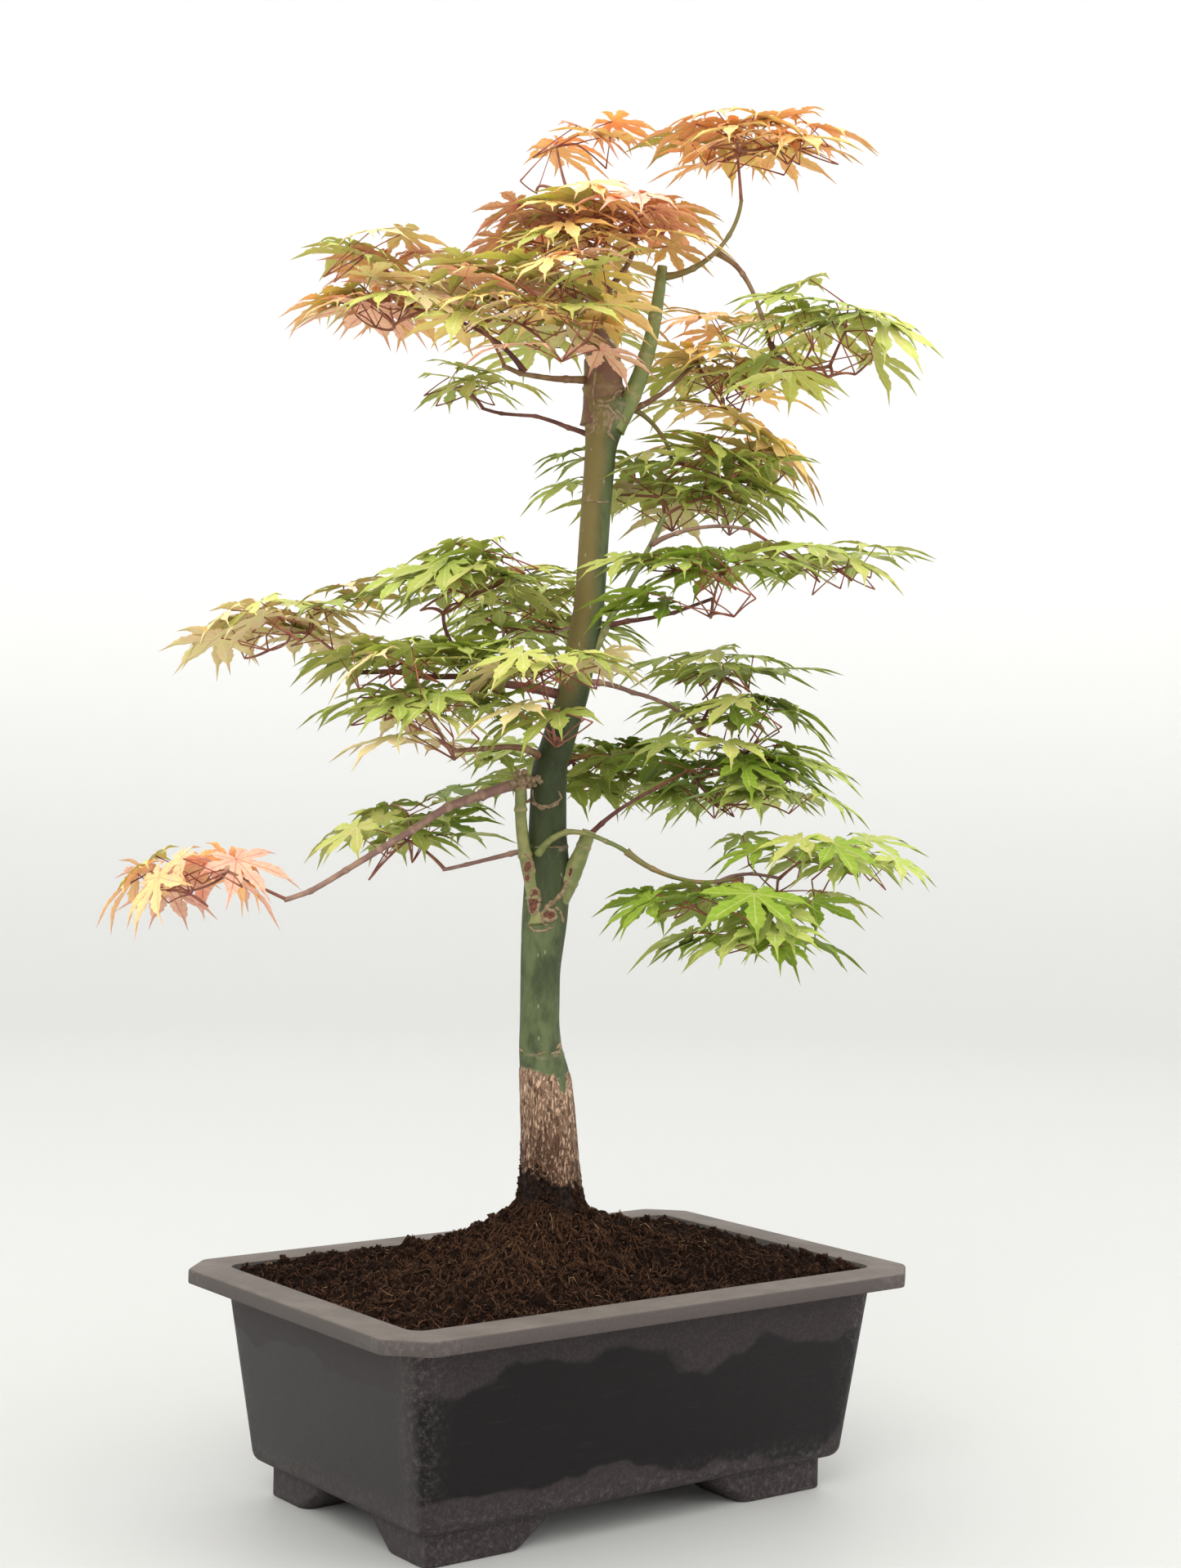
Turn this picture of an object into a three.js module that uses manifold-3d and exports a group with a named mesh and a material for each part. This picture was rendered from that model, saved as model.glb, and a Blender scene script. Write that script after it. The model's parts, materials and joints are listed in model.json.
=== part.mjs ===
// A young maple bonsai in a rectangular plastic training pot.
// Millimetres, +Z up. The pot's long side runs along X and its feet stand on z = 0.
import * as THREE from "three";
import Module from "manifold-3d";

const wasm = await Module();
wasm.setup();

// Driving dimensions: the pot
const GAP = 0.3;
const POT = {
  length: 305,
  width: 204.5,
  height: 108.8,
  rimBand: 7.1,
  rimOverhang: 17.5,
  rimCorner: 16.6,
  rimEdge: 1.4,
  wall: 2.5,
  floor: 3,
  baseLength: 248,
  baseWidth: 153,
  bodyCorner: 10,
  cornerSteps: 3,
  insideEdge: 4,
};
// The body's rounded lower edge: how far up from its underside, and how far in
const BASE_EDGE = [
  { up: 0, inset: 5 },
  { up: 1.5, inset: 1.9 },
  { up: 5, inset: 0 },
];
const FOOT = { height: 16.1, upright: 4.1, inset: 8, length: 52, width: 33, spread: 16, corner: 8, sink: 3 };

// Driving dimensions: the compost, level near the rim and heaped up to the trunk
const SOIL = { edge: 107.2, heap: 133, spot: 20, reach: 0.75, slope: 1.35, sides: 24, sink: 6, margin: 1 };
// Its lumps: their height, how many lie round the trunk, and how they turn on the way out
const LUMPS = { height: 1.6, round: [5, 3], turn: [9, -14] };

// Where the heap's rings lie, as shares of the way out from the trunk to the wall
const SOIL_RINGS = [1, 0.8, 0.6, 0.44, 0.3, 0.16, 0];

// Driving dimensions: the tree. It is set in the middle of the pot, and is turned on it.
// Places on the tree are [right, front, up]: to the right and out to the front of the tree
// from the middle of the pot, and up from the table.
const TREE_TURN = THREE.MathUtils.degToRad(-36.84);
const TRUNK_SIDES = 12;
const TRUNK = [
  { up: SOIL.heap + GAP, right: -2, wide: 32.6 },
  { up: 140, right: -2, wide: 29.8 },
  { up: 150, right: -2.2, wide: 28.4 },
  { up: 175, right: -3.6, wide: 26.4 },
  { up: 195, right: -5.2, wide: 25.2 },
  { up: 205, right: -6.4, wide: 23.6 },
  { up: 214, right: -8.4, wide: 20.8 },
  { up: 226, right: -9, wide: 19 },
  { up: 252, right: -9.2, wide: 19.2 },
  { up: 275, right: -7.7, wide: 22 },
  { up: 296, right: -6.5, wide: 22.6 },
  { up: 318, right: -7, wide: 18.4 },
  { up: 349, right: -7, wide: 17 },
  { up: 386, right: 4, wide: 15.8 },
  { up: 429, right: 11, wide: 14.6 },
  { up: 471, right: 13, wide: 14.4 },
  { up: 505, right: 15, wide: 15 },
  { up: 517, right: 17, wide: 20 },
  { up: 527, right: 17.5, wide: 22 },
];
const FLARE = { toes: 5, depth: 0.08, top: 165 };
const FORK_DOME = { rise: 3, share: 0.6 };

// Leaders and boughs: where each leaves and ends, how steeply it leaves and arrives
// (degrees above level, past 90 leaning back), its thickness there, and what it grows from.
const LIMB_SIDES = 6;
const LIMB_STEPS = 5;
const LIMB_HANDLE = 0.36;
const LIMB_TAPER = 0.8;
const LIMBS = {
  leader_left: { on: "trunk", from: [14, 0, 516], to: [12, 0, 589], climb: [88, 92], wide: [17, 9.4] },
  leader_right: { on: "trunk", from: [21, 2, 514], to: [43, 0, 593], climb: [58, 84], wide: [10.5, 5] },
  left_shoot: { on: "trunk", from: [-9, 5, 276], to: [-20, 8, 332], climb: [76, 88], wide: [7.5, 5.2] },
  left_arm: { on: "trunk", from: [-8, 4, 343], to: [-130, 30, 285], climb: [-2, -22], wide: [6.4, 3.4] },
  left_twig: { on: "trunk", from: [-8, -2, 312], to: [-58, -12, 299], climb: [-10, -12], wide: [3.4, 2.4] },
  left_front: { on: "trunk", from: [-7, 4, 352], to: [-50, 40, 357], climb: [28, -4], wide: [4.6, 2.8] },
  left_long: { on: "trunk", from: [3, 2, 384], to: [-100, 24, 393], climb: [12, -2], wide: [5.4, 3] },
  left_riser: { on: "left_long", from: [-47, 15, 394], to: [-58, 22, 423], climb: [70, 96], wide: [3.2, 2.4] },
  crossing_arch: { on: "trunk", from: [-11, 4, 308], to: [32, 24, 310], climb: [62, -38], wide: [3.6, 3] },
  crossing_reach: { on: "crossing_arch", from: [31, 24, 311], to: [86, 36, 300], climb: [-40, 10], wide: [3, 2.4] },
  right_low_twig: { on: "crossing_reach", from: [74, 33, 297], to: [104, 33, 300], climb: [34, -4], wide: [2.4, 2] },
  right_stub: { on: "trunk", from: [-3, 2, 286], to: [13, 4, 320], climb: [54, 74], wide: [9, 6.3] },
  right_twig: { on: "right_stub", from: [12, 3, 316], to: [45, 0, 341], climb: [52, 30], wide: [3, 2.2] },
  right_drop: { on: "trunk", from: [6, -1, 391], to: [66, -20, 368], climb: [8, -44], wide: [3.4, 2.4] },
  right_riser: { on: "trunk", from: [4, 3, 384], to: [47, -4, 474], climb: [68, 66], wide: [5.6, 3] },
  right_branch: { on: "right_riser", from: [41, 0, 459], to: [88, 8, 466], climb: [34, -6], wide: [2.8, 2.2] },
  right_sprig: { on: "right_riser", from: [18, 3, 419], to: [70, 18, 432], climb: [4, 16], wide: [2.8, 2.2] },
  upper_left_low: { on: "trunk", from: [14, 0, 508], to: [-44, -22, 526], climb: [36, 18], wide: [3, 2.2] },
  upper_left: { on: "leader_left", from: [13, 1, 539], to: [-32, 28, 539], climb: [-18, 6], wide: [4.6, 3] },
  upper_left_rise: { on: "upper_left", from: [-22, 22, 537], to: [-68, 38, 562], climb: [58, 8], wide: [2.8, 2.2] },
  upper_right_back: { on: "trunk", from: [20, -2, 520], to: [62, -22, 551], climb: [18, 44], wide: [4, 2.6] },
  upper_right_fall: { on: "trunk", from: [19, -2, 524], to: [50, -24, 502], climb: [22, -84], wide: [3.6, 2.6] },
  crown_left: { on: "leader_left", from: [12, -1, 570], to: [-2, -6, 626], climb: [158, 82], wide: [3, 2.2] },
  crown_middle: { on: "leader_left", from: [12, 1, 578], to: [30, 4, 606], climb: [28, 84], wide: [4.4, 3] },
  crown_right: { on: "leader_right", from: [42, 0, 588], to: [80, 8, 624], climb: [2, 86], wide: [3.8, 2.6] },
  right_fall: { on: "crown_right", from: [71, 5, 599], to: [96, 12, 551], climb: [-34, -72], wide: [3, 2.6] },
  right_reach: { on: "right_fall", from: [95, 12, 555], to: [124, 18, 544], climb: [-66, 22], wide: [2.6, 2.2] },
};

// The season's tints
const TINTS = { green: "#6f9436", lime: "#9db04c", gold: "#cfae55", orange: "#d98f55", salmon: "#cf7458" };
const LEAF_ROUGHNESS = 0.7;
// The colours and roughness of the rest
const PLASTIC = ["#45403f", 0.6];
const COMPOST = ["#3d261a", 0.95];
const GREEN_BARK = ["#5b7350", 0.6];
const BROWN_BARK = ["#7a5a4c", 0.6];

// Masses of leaves: the middle and half sizes of each one's space, what carries it,
// how many shoots it has, and its tint.
const MASSES = {
  left_tip_leaves: { on: "left_arm", at: [-176, 38, 293], size: [57, 50, 29], shoots: 4, tint: "salmon" },
  left_back_leaves: { on: "left_twig", at: [-84, -34, 321], size: [58, 52, 27], shoots: 4, tint: "green" },
  left_front_leaves: { on: "left_front", at: [-66, 56, 375], size: [58, 54, 36], shoots: 5, tint: "lime" },
  front_leaves: { on: "trunk", from: [-4, 0, 364], at: [-6, 66, 386], size: [48, 46, 30], shoots: 3, tint: "green" },
  left_outer_leaves: { on: "left_long", at: [-136, 22, 424], size: [62, 52, 33], shoots: 5, tint: "lime" },
  left_inner_leaves: { on: "left_riser", at: [-52, 26, 456], size: [64, 50, 33], shoots: 4, tint: "green" },
  right_low_leaves: { on: "crossing_reach", at: [80, 52, 275], size: [66, 52, 32], shoots: 4, tint: "green" },
  right_outer_leaves: { on: "right_low_twig", at: [122, 28, 307], size: [58, 50, 24], shoots: 4, tint: "green" },
  right_lower_leaves: { on: "right_twig", at: [84, -26, 342], size: [68, 56, 28], shoots: 4, tint: "green" },
  right_middle_leaves: { on: "right_drop", at: [80, -24, 387], size: [56, 54, 32], shoots: 5, tint: "green" },
  right_arm_leaves: { on: "right_branch", at: [124, 2, 452], size: [60, 52, 28], shoots: 4, tint: "green" },
  right_front_leaves: { on: "right_sprig", at: [66, 44, 445], size: [60, 46, 28], shoots: 4, tint: "green" },
  right_upper_leaves: { on: "right_riser", at: [54, -26, 491], size: [74, 56, 26], shoots: 5, tint: "lime" },
  upper_outer_leaves: { on: "upper_left_rise", at: [-88, 34, 590], size: [48, 50, 40], shoots: 5, tint: "orange" },
  upper_front_leaves: { on: "upper_left", at: [-20, 48, 564], size: [64, 46, 32], shoots: 4, tint: "orange" },
  upper_low_leaves: { on: "upper_left_low", at: [-50, -34, 533], size: [42, 46, 26], shoots: 3, tint: "lime" },
  upper_middle_leaves: { on: "crown_middle", at: [14, 14, 614], size: [62, 50, 30], shoots: 5, tint: "gold" },
  crown_left_leaves: { on: "crown_left", at: [-8, -8, 654], size: [46, 46, 28], shoots: 4, tint: "orange" },
  crown_right_leaves: { on: "crown_right", at: [84, 8, 647], size: [60, 54, 30], shoots: 5, tint: "gold" },
  right_reach_leaves: { on: "right_reach", at: [122, 24, 562], size: [52, 48, 36], shoots: 4, tint: "lime" },
  upper_back_leaves: { on: "upper_right_back", at: [80, -46, 558], size: [50, 50, 32], shoots: 4, tint: "gold" },
  right_fall_leaves: { on: "upper_right_fall", at: [84, -42, 514], size: [48, 48, 26], shoots: 3, tint: "gold" },
  back_low_leaves: { on: "trunk", from: [-7, 0, 352], at: [6, -82, 358], size: [62, 54, 30], shoots: 4, tint: "green" },
  back_middle_leaves: { on: "trunk", from: [9, 0, 420], at: [-22, -72, 438], size: [64, 52, 30], shoots: 4, tint: "green" },
  back_upper_leaves: { on: "leader_left", from: [12, 0, 556], at: [-10, -68, 592], size: [62, 50, 34], shoots: 5, tint: "orange" },
};

// Twigs and leaves
const TWIG = { root: 1.5, tip: 0.95, thin: 0.2, kink: 4, sides: 3, knot: 2.2, upright: 0.2 };
const LEAF = {
  reach: 37,
  thick: 1.5,
  petiole: 0.85,
  petioleFoot: 0.45,
  petioleReach: [16, 34],
  petioleClimb: [15, 72],
  droop: [4, 32],
  size: [0.84, 1.08],
  turn: 0.7,
  roll: 0.5,
  lobes: [
    { angle: -92, reach: 0.66 },
    { angle: -44, reach: 0.9 },
    { angle: 0, reach: 1 },
    { angle: 44, reach: 0.9 },
    { angle: 92, reach: 0.66 },
  ],
  notch: 0.33,
  heel: 0.12,
  tipFall: 0.17,
  notchFall: 0.03,
};
// Each shoot's leaves share the circle round it, less a part behind, and are turned by
// chance, more with each new try.
const LEAVES_ON_SHOOT = 3;
const LEAF_TRIES = 16;
const LEAF_CIRCLE = 0.86 * 2 * Math.PI;
const LEAF_SCATTER = { first: 0.4, more: 0.35, shrink: 0.015 };
// Every try draws from its own stream, numbered by its mass, knot, leaf and try.
const LEAF_SEED = { mass: 100000, knot: 1000, leaf: 50 };
// A shoot ends well inside its mass's space, in its lower part, and lower towards the rim.
const SHOOT = { room: 34, least: 6, start: 0.35, height: -0.3, spread: 0.8, fall: 0.2, age: 4 };
const PAD_DOME = 0.4;
// A thin needle pushed out through a limb finds its surface.
const PROBE = { length: 40, radius: 0.05 };
const GOLDEN_ANGLE = Math.PI * (3 - Math.sqrt(5));

// Places and small sums

/** A point on the tree from its [right, front, up]. */
function place([right, front, up]) {
  return new THREE.Vector3(right, -front, up);
}

/** The value a share of the way from low to high. */
function between([low, high], share) {
  return low + (high - low) * share;
}

/** A repeatable stream of shares from 0 to 1. */
function stream(seed) {
  let state = (seed * 7919 + 104729) % 4294967296;
  const next = () => {
    state = (state * 1664525 + 1013904223) % 4294967296;
    return state / 4294967296;
  };
  next();
  next();
  return next;
}

// Closed solids from rings of points

/** One solid from a list of points and a list of triangles that face outwards. */
function solidFrom(points, triangles) {
  const vertProperties = new Float32Array(points.flatMap((p) => [p.x, p.y, p.z]));
  const triVerts = new Uint32Array(triangles.flat());
  return new wasm.Manifold(new wasm.Mesh({ numProp: 3, vertProperties, triVerts }));
}

/** The solid through rings of points that turn anticlockwise as seen from the last ring. */
function loft(rings) {
  const count = rings[0].length;
  const triangles = [];
  for (let ring = 0; ring + 1 < rings.length; ring++) {
    for (let i = 0; i < count; i++) {
      const a = ring * count + i;
      const b = ring * count + ((i + 1) % count);
      triangles.push([a, b, b + count], [a, b + count, a + count]);
    }
  }
  const last = (rings.length - 1) * count;
  for (let i = 1; i + 1 < count; i++) {
    triangles.push([0, i + 1, i], [last, last + i, last + i + 1]);
  }
  return solidFrom(rings.flat(), triangles);
}

/** The largest body of a solid: scraps go, and sealed hollows are filled. */
function largestBody(solid) {
  const bodies = solid.decompose();
  return bodies.reduce((best, body) => (body.volume() > best.volume() ? body : best));
}

/** A named mesh with the solid's surface. */
function meshOf(name, solid, color, roughness) {
  const { vertProperties, triVerts } = solid.getMesh();
  const geometry = new THREE.BufferGeometry();
  geometry.setAttribute("position", new THREE.BufferAttribute(new Float32Array(vertProperties), 3));
  geometry.setIndex(new THREE.BufferAttribute(new Uint32Array(triVerts), 1));
  geometry.computeVertexNormals();
  const material = new THREE.MeshStandardMaterial({ color, roughness, metalness: 0, flatShading: true });
  const mesh = new THREE.Mesh(geometry, material);
  mesh.name = name;
  return mesh;
}

// The pot

/** A level rectangle of points with its corners cut off by straight or round corners. */
function rectangle(halfLength, halfWidth, corner, cornerSteps, z) {
  const points = [];
  for (let quarter = 0; quarter < 4; quarter++) {
    const sideX = quarter === 0 || quarter === 3 ? 1 : -1;
    const sideY = quarter < 2 ? 1 : -1;
    for (let step = 0; step <= cornerSteps; step++) {
      const angle = (Math.PI / 2) * (quarter + step / cornerSteps);
      const x = sideX * (halfLength - corner) + corner * Math.cos(angle);
      const y = sideY * (halfWidth - corner) + corner * Math.sin(angle);
      points.push(new THREE.Vector3(x, y, z));
    }
  }
  return points;
}

/** Half the body's length and width at a height, pulled in by an inset. */
function bodyHalf(z, inset) {
  const share = (z - FOOT.height) / (POT.height - POT.rimBand - FOOT.height);
  const length = between([POT.baseLength, POT.length - 2 * POT.rimOverhang], share);
  const width = between([POT.baseWidth, POT.width - 2 * POT.rimOverhang], share);
  return [length / 2 - inset, width / 2 - inset];
}

/** A ring round the body's outside, or inside it by an inset. */
function bodyRing(z, inset) {
  const corner = POT.bodyCorner - Math.min(inset, POT.wall);
  return rectangle(...bodyHalf(z, inset), corner, POT.cornerSteps, z);
}

/** The tapered body with its rounded lower edge. */
function potBody() {
  return loft([
    ...BASE_EDGE.map(({ up, inset }) => bodyRing(FOOT.height + up, inset)),
    bodyRing(POT.height - POT.rimBand / 2, 0),
  ]);
}

/** The flat rim band, with cut corners and softened edges. */
function potRim() {
  const ring = (z, inset) =>
    rectangle(POT.length / 2 - inset, POT.width / 2 - inset, POT.rimCorner - inset / 2, 1, z);
  return loft([
    ring(POT.height - POT.rimBand, POT.rimEdge / 2),
    ring(POT.height - POT.rimBand + POT.rimEdge / 2, 0),
    ring(POT.height - POT.rimEdge, 0),
    ring(POT.height, POT.rimEdge),
  ]);
}

/** One foot at a corner: its inner ends slope out as they rise, and are upright at the top. */
function potFoot(sideX, sideY) {
  const [halfLength, halfWidth] = bodyHalf(FOOT.height, FOOT.inset);
  const ring = (z, spread) => {
    const length = FOOT.length + spread;
    const width = FOOT.width + spread;
    const outline = rectangle(length / 2, width / 2, FOOT.corner, POT.cornerSteps, z);
    const shift = new THREE.Vector3(sideX * (halfLength - length / 2), sideY * (halfWidth - width / 2), 0);
    return outline.map((point) => point.add(shift));
  };
  const { height, upright, spread, sink } = FOOT;
  return loft([ring(0, 0), ring(height - upright, spread), ring(height + sink, spread)]);
}

/** The space inside the walls, pulled in by a clearance, from the floor up to a height. */
function potInside(clear, top) {
  const floor = FOOT.height + POT.floor + clear;
  const inset = POT.wall + clear;
  return [
    bodyRing(floor, inset + POT.insideEdge),
    bodyRing(floor + POT.insideEdge, inset),
    bodyRing(top, inset),
  ];
}

/** The whole pot as one moulding. */
function pot() {
  let solid = potBody().add(potRim());
  for (const sideX of [-1, 1]) {
    for (const sideY of [-1, 1]) {
      solid = solid.add(potFoot(sideX, sideY));
    }
  }
  const lip = bodyRing(POT.height + POT.rimEdge, POT.wall - 2 * POT.rimEdge);
  return solid.subtract(loft([...potInside(0, POT.height - POT.rimEdge), lip]));
}

// The compost

/** A ring of the heap: the pot's outline near the wall, a circle near the trunk. */
function soilRing(share, height) {
  const [halfLength, halfWidth] = bodyHalf(SOIL.edge, POT.wall + GAP);
  const points = [];
  for (let i = 0; i < SOIL.sides; i++) {
    const angle = (2 * Math.PI * i) / SOIL.sides;
    const across = Math.min(
      (halfLength - SOIL.margin) / Math.abs(Math.cos(angle)),
      (halfWidth - SOIL.margin) / Math.abs(Math.sin(angle)),
    );
    const wall = Math.min(across, Math.hypot(halfLength, halfWidth) - POT.bodyCorner / 2);
    const radius = between([SOIL.spot, wall], share);
    const [wave, crossWave] = LUMPS.round.map((count, k) => Math.sin(count * angle + LUMPS.turn[k] * share));
    const lump = LUMPS.height * wave * crossWave * Math.sin(Math.PI * share);
    points.push(new THREE.Vector3(radius * Math.cos(angle), radius * Math.sin(angle), height + lump));
  }
  return points;
}

/** Compost from the pot's floor up to a heap with a flat spot for the trunk. */
function soil() {
  const fill = loft(potInside(GAP, SOIL.edge));
  const heapHeight = (share) => {
    const rise = Math.exp(-2 * (share / SOIL.reach) ** SOIL.slope);
    const foot = Math.exp(-2 * (1 / SOIL.reach) ** SOIL.slope);
    return SOIL.edge + ((SOIL.heap - SOIL.edge) * (rise - foot)) / (1 - foot);
  };
  const heap = loft([
    soilRing(1, SOIL.edge - SOIL.sink),
    ...SOIL_RINGS.map((share) => soilRing(share, heapHeight(share))),
  ]);
  return fill.add(heap);
}

// Trunk and limbs

/** The trunk, swollen by a width of clearance. */
function trunk(clear) {
  const rings = TRUNK.map(({ up, right, wide }) => {
    const fade = THREE.MathUtils.clamp((FLARE.top - up) / (FLARE.top - SOIL.heap), 0, 1);
    const points = [];
    for (let i = 0; i < TRUNK_SIDES; i++) {
      const angle = (2 * Math.PI * i) / TRUNK_SIDES;
      const toes = 1 + FLARE.depth * fade * Math.sin(FLARE.toes * angle + 1);
      const radius = (wide / 2) * toes + clear;
      points.push(place([right + radius * Math.cos(angle), -radius * Math.sin(angle), up]));
    }
    return points;
  });
  const top = rings[rings.length - 1];
  const middle = TRUNK[TRUNK.length - 1].right;
  const { rise, share } = FORK_DOME;
  const dome = top.map(({ x, y, z }) => {
    return new THREE.Vector3(middle + (x - middle) * share, y * share, z + rise + clear);
  });
  return loft([...rings, dome]);
}

/** The curve that a limb follows. */
function limbCurve({ from, to, climb }) {
  const start = place(from);
  const end = place(to);
  const chord = end.clone().sub(start);
  const level = new THREE.Vector3(chord.x, chord.y, 0).normalize();
  const handle = (degrees) => {
    const angle = THREE.MathUtils.degToRad(degrees);
    const direction = level.clone().multiplyScalar(Math.cos(angle)).setZ(Math.sin(angle));
    return direction.multiplyScalar(LIMB_HANDLE * chord.length());
  };
  const leave = start.clone().add(handle(climb[0]));
  const arrive = end.clone().sub(handle(climb[1]));
  return new THREE.CubicBezierCurve3(start, leave, arrive, end);
}

/** A round tapering solid along a curve, swollen by a width of clearance. */
function taper(curve, wide, sides, steps, clear) {
  const { normals, binormals } = curve.computeFrenetFrames(steps, false);
  const rings = [];
  for (let step = 0; step <= steps; step++) {
    const share = step / steps;
    const middle = curve.getPointAt(share);
    const radius = between(wide, share ** LIMB_TAPER) / 2 + clear;
    const ring = [];
    for (let i = 0; i < sides; i++) {
      const angle = (2 * Math.PI * i) / sides;
      const across = normals[step].clone().multiplyScalar(radius * Math.cos(angle));
      ring.push(middle.clone().add(across).addScaledVector(binormals[step], radius * Math.sin(angle)));
    }
    rings.push(ring);
  }
  return loft(rings);
}

/** Every limb's solid, each ending clear of what it grows from. */
function limbs(trunkSolid, trunkRoom) {
  const solids = { trunk: trunkSolid };
  const rooms = { trunk: trunkRoom };
  for (const [name, limb] of Object.entries(LIMBS)) {
    const curve = limbCurve(limb);
    let solid = taper(curve, limb.wide, LIMB_SIDES, LIMB_STEPS, 0);
    rooms[name] = taper(curve, limb.wide, LIMB_SIDES, LIMB_STEPS, GAP);
    for (const other of Object.keys(solids)) {
      solid = solid.subtract(rooms[other]);
    }
    solids[name] = largestBody(solid);
  }
  return { solids, rooms };
}

// Twigs and leaves

/** A three-sided twig through its points, its root sunk in the knot that it grows from. */
function twig(points, radii) {
  const rings = [];
  points.forEach((point, index) => {
    const before = points[Math.max(index - 1, 0)];
    const after = points[Math.min(index + 1, points.length - 1)];
    const along = after.clone().sub(before).normalize();
    const across = new THREE.Vector3(-along.y, along.x, 0);
    if (across.length() < TWIG.upright) across.set(1, 0, 0);
    const upward = along.clone().cross(across).normalize();
    const side = upward.clone().cross(along).normalize();
    const ring = [];
    for (let i = 0; i < TWIG.sides; i++) {
      const angle = (2 * Math.PI * i) / TWIG.sides;
      const offset = side.clone().multiplyScalar(radii[index] * Math.cos(angle));
      ring.push(point.clone().add(offset).addScaledVector(upward, radii[index] * Math.sin(angle)));
    }
    rings.push(ring);
  });
  return loft(rings);
}

/** The points of a leaf's outline in its own plane, with the middle lobe along X. */
function leafOutline(reach) {
  const points = [];
  LEAF.lobes.forEach(({ angle, reach: share }, index) => {
    const next = LEAF.lobes[index + 1];
    const tipAngle = THREE.MathUtils.degToRad(angle);
    const tip = reach * share;
    points.push(new THREE.Vector3(tip * Math.cos(tipAngle), tip * Math.sin(tipAngle), -LEAF.tipFall * tip));
    const notchAngle = THREE.MathUtils.degToRad(next ? (angle + next.angle) / 2 : 180);
    const notch = reach * (next ? LEAF.notch : LEAF.heel);
    points.push(new THREE.Vector3(notch * Math.cos(notchAngle), notch * Math.sin(notchAngle), -LEAF.notchFall * notch));
  });
  return points;
}

/** Where a leaf's blade lies: its middle and the directions ahead, to its left and up. */
function leafPose(root, azimuth, climb, petiole, turn, droop, roll) {
  const outward = new THREE.Vector3(Math.cos(azimuth), Math.sin(azimuth), 0);
  const middle = root
    .clone()
    .addScaledVector(outward, petiole * Math.cos(climb))
    .setZ(root.z + petiole * Math.sin(climb));
  const frame = new THREE.Matrix4()
    .makeRotationZ(azimuth + turn)
    .multiply(new THREE.Matrix4().makeRotationY(droop))
    .multiply(new THREE.Matrix4().makeRotationX(roll));
  frame.setPosition(middle);
  return frame;
}

/** A leaf and its petiole as one solid, and the points that its ribs reach. */
function leaf(root, frame, reach) {
  const outline = leafOutline(reach).map((point) => point.applyMatrix4(frame));
  const top = new THREE.Vector3(0, 0, LEAF.thick / 2).applyMatrix4(frame);
  const stalk = [];
  const foot = [];
  const middle = new THREE.Vector3(0, 0, -LEAF.thick / 2).applyMatrix4(frame);
  const sunk = root.clone().lerp(middle, TWIG.knot / (3 * root.distanceTo(middle)));
  const slim = LEAF.petioleFoot / LEAF.petiole;
  for (let i = 0; i < 3; i++) {
    const angle = (2 * Math.PI * i) / 3 + Math.PI;
    const offset = new THREE.Vector3(Math.cos(angle), Math.sin(angle), 0).multiplyScalar(LEAF.petiole);
    const ring = offset.clone().setZ(-LEAF.thick / 2).applyMatrix4(frame);
    stalk.push(ring);
    foot.push(ring.clone().sub(middle).multiplyScalar(slim).add(sunk));
  }
  const count = outline.length;
  const points = [...outline, ...stalk, ...foot, top];
  const topIndex = points.length - 1;
  const triangles = [];
  for (let i = 0; i < count; i++) {
    triangles.push([topIndex, i, (i + 1) % count]);
  }
  // The underside runs from the outline in to the three points round the petiole.
  const nearest = (i) => {
    const angle = Math.atan2(leafOutline(1)[i].y, leafOutline(1)[i].x);
    return ((Math.round((3 * (angle - Math.PI)) / (2 * Math.PI)) % 3) + 3) % 3;
  };
  for (let i = 0; i < count; i++) {
    const next = (i + 1) % count;
    const here = count + nearest(i);
    const there = count + nearest(next);
    triangles.push([next, i, here]);
    if (here !== there) triangles.push([next, here, there]);
  }
  for (let i = 0; i < 3; i++) {
    const a = count + i;
    const b = count + ((i + 1) % 3);
    triangles.push([a, a + 3, b + 3], [a, b + 3, b]);
  }
  triangles.push([count + 3, count + 5, count + 4]);
  return { solid: solidFrom(points, triangles), reach: [...outline, top] };
}

/** Whether a point lies in a mass's space: an oval pad, flat below and domed on top. */
function inSpace(mass, point) {
  const offset = point.clone().sub(place(mass.at));
  const [right, front, up] = mass.size;
  const share = (offset.x / right) ** 2 + (offset.y / front) ** 2;
  return share <= 1 && offset.z >= -up && offset.z <= up * (1 - PAD_DOME * share);
}

/** Whether two boxes round solids come within reach of each other. */
function boxesMeet(a, b) {
  return [0, 1, 2].every((axis) => a.min[axis] <= b.max[axis] && b.min[axis] <= a.max[axis]);
}

/** Whether a solid shares space with any in a list. */
function touchesAny(solid, others) {
  const box = solid.boundingBox();
  return others.some((other) => boxesMeet(box, other.boundingBox()) && !solid.intersect(other).isEmpty());
}

/** The ends of a mass's shoots, spread evenly over its space from the middle outwards. */
function shootEnds(mass, draw) {
  const [right, front, up] = mass.size;
  const ends = [];
  const phase = draw() * 2 * Math.PI;
  for (let i = 0; i < mass.shoots; i++) {
    const share = Math.sqrt((i + SHOOT.start) / mass.shoots);
    const angle = phase + i * GOLDEN_ANGLE;
    const x = Math.max(right - SHOOT.room, SHOOT.least) * share * Math.cos(angle);
    const y = Math.max(front - SHOOT.room, SHOOT.least) * share * Math.sin(angle);
    const z = up * (SHOOT.height + SHOOT.spread * (draw() - 0.5) - SHOOT.fall * share);
    ends.push(place(mass.at).add(new THREE.Vector3(x, y, z)));
  }
  return ends;
}

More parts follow.
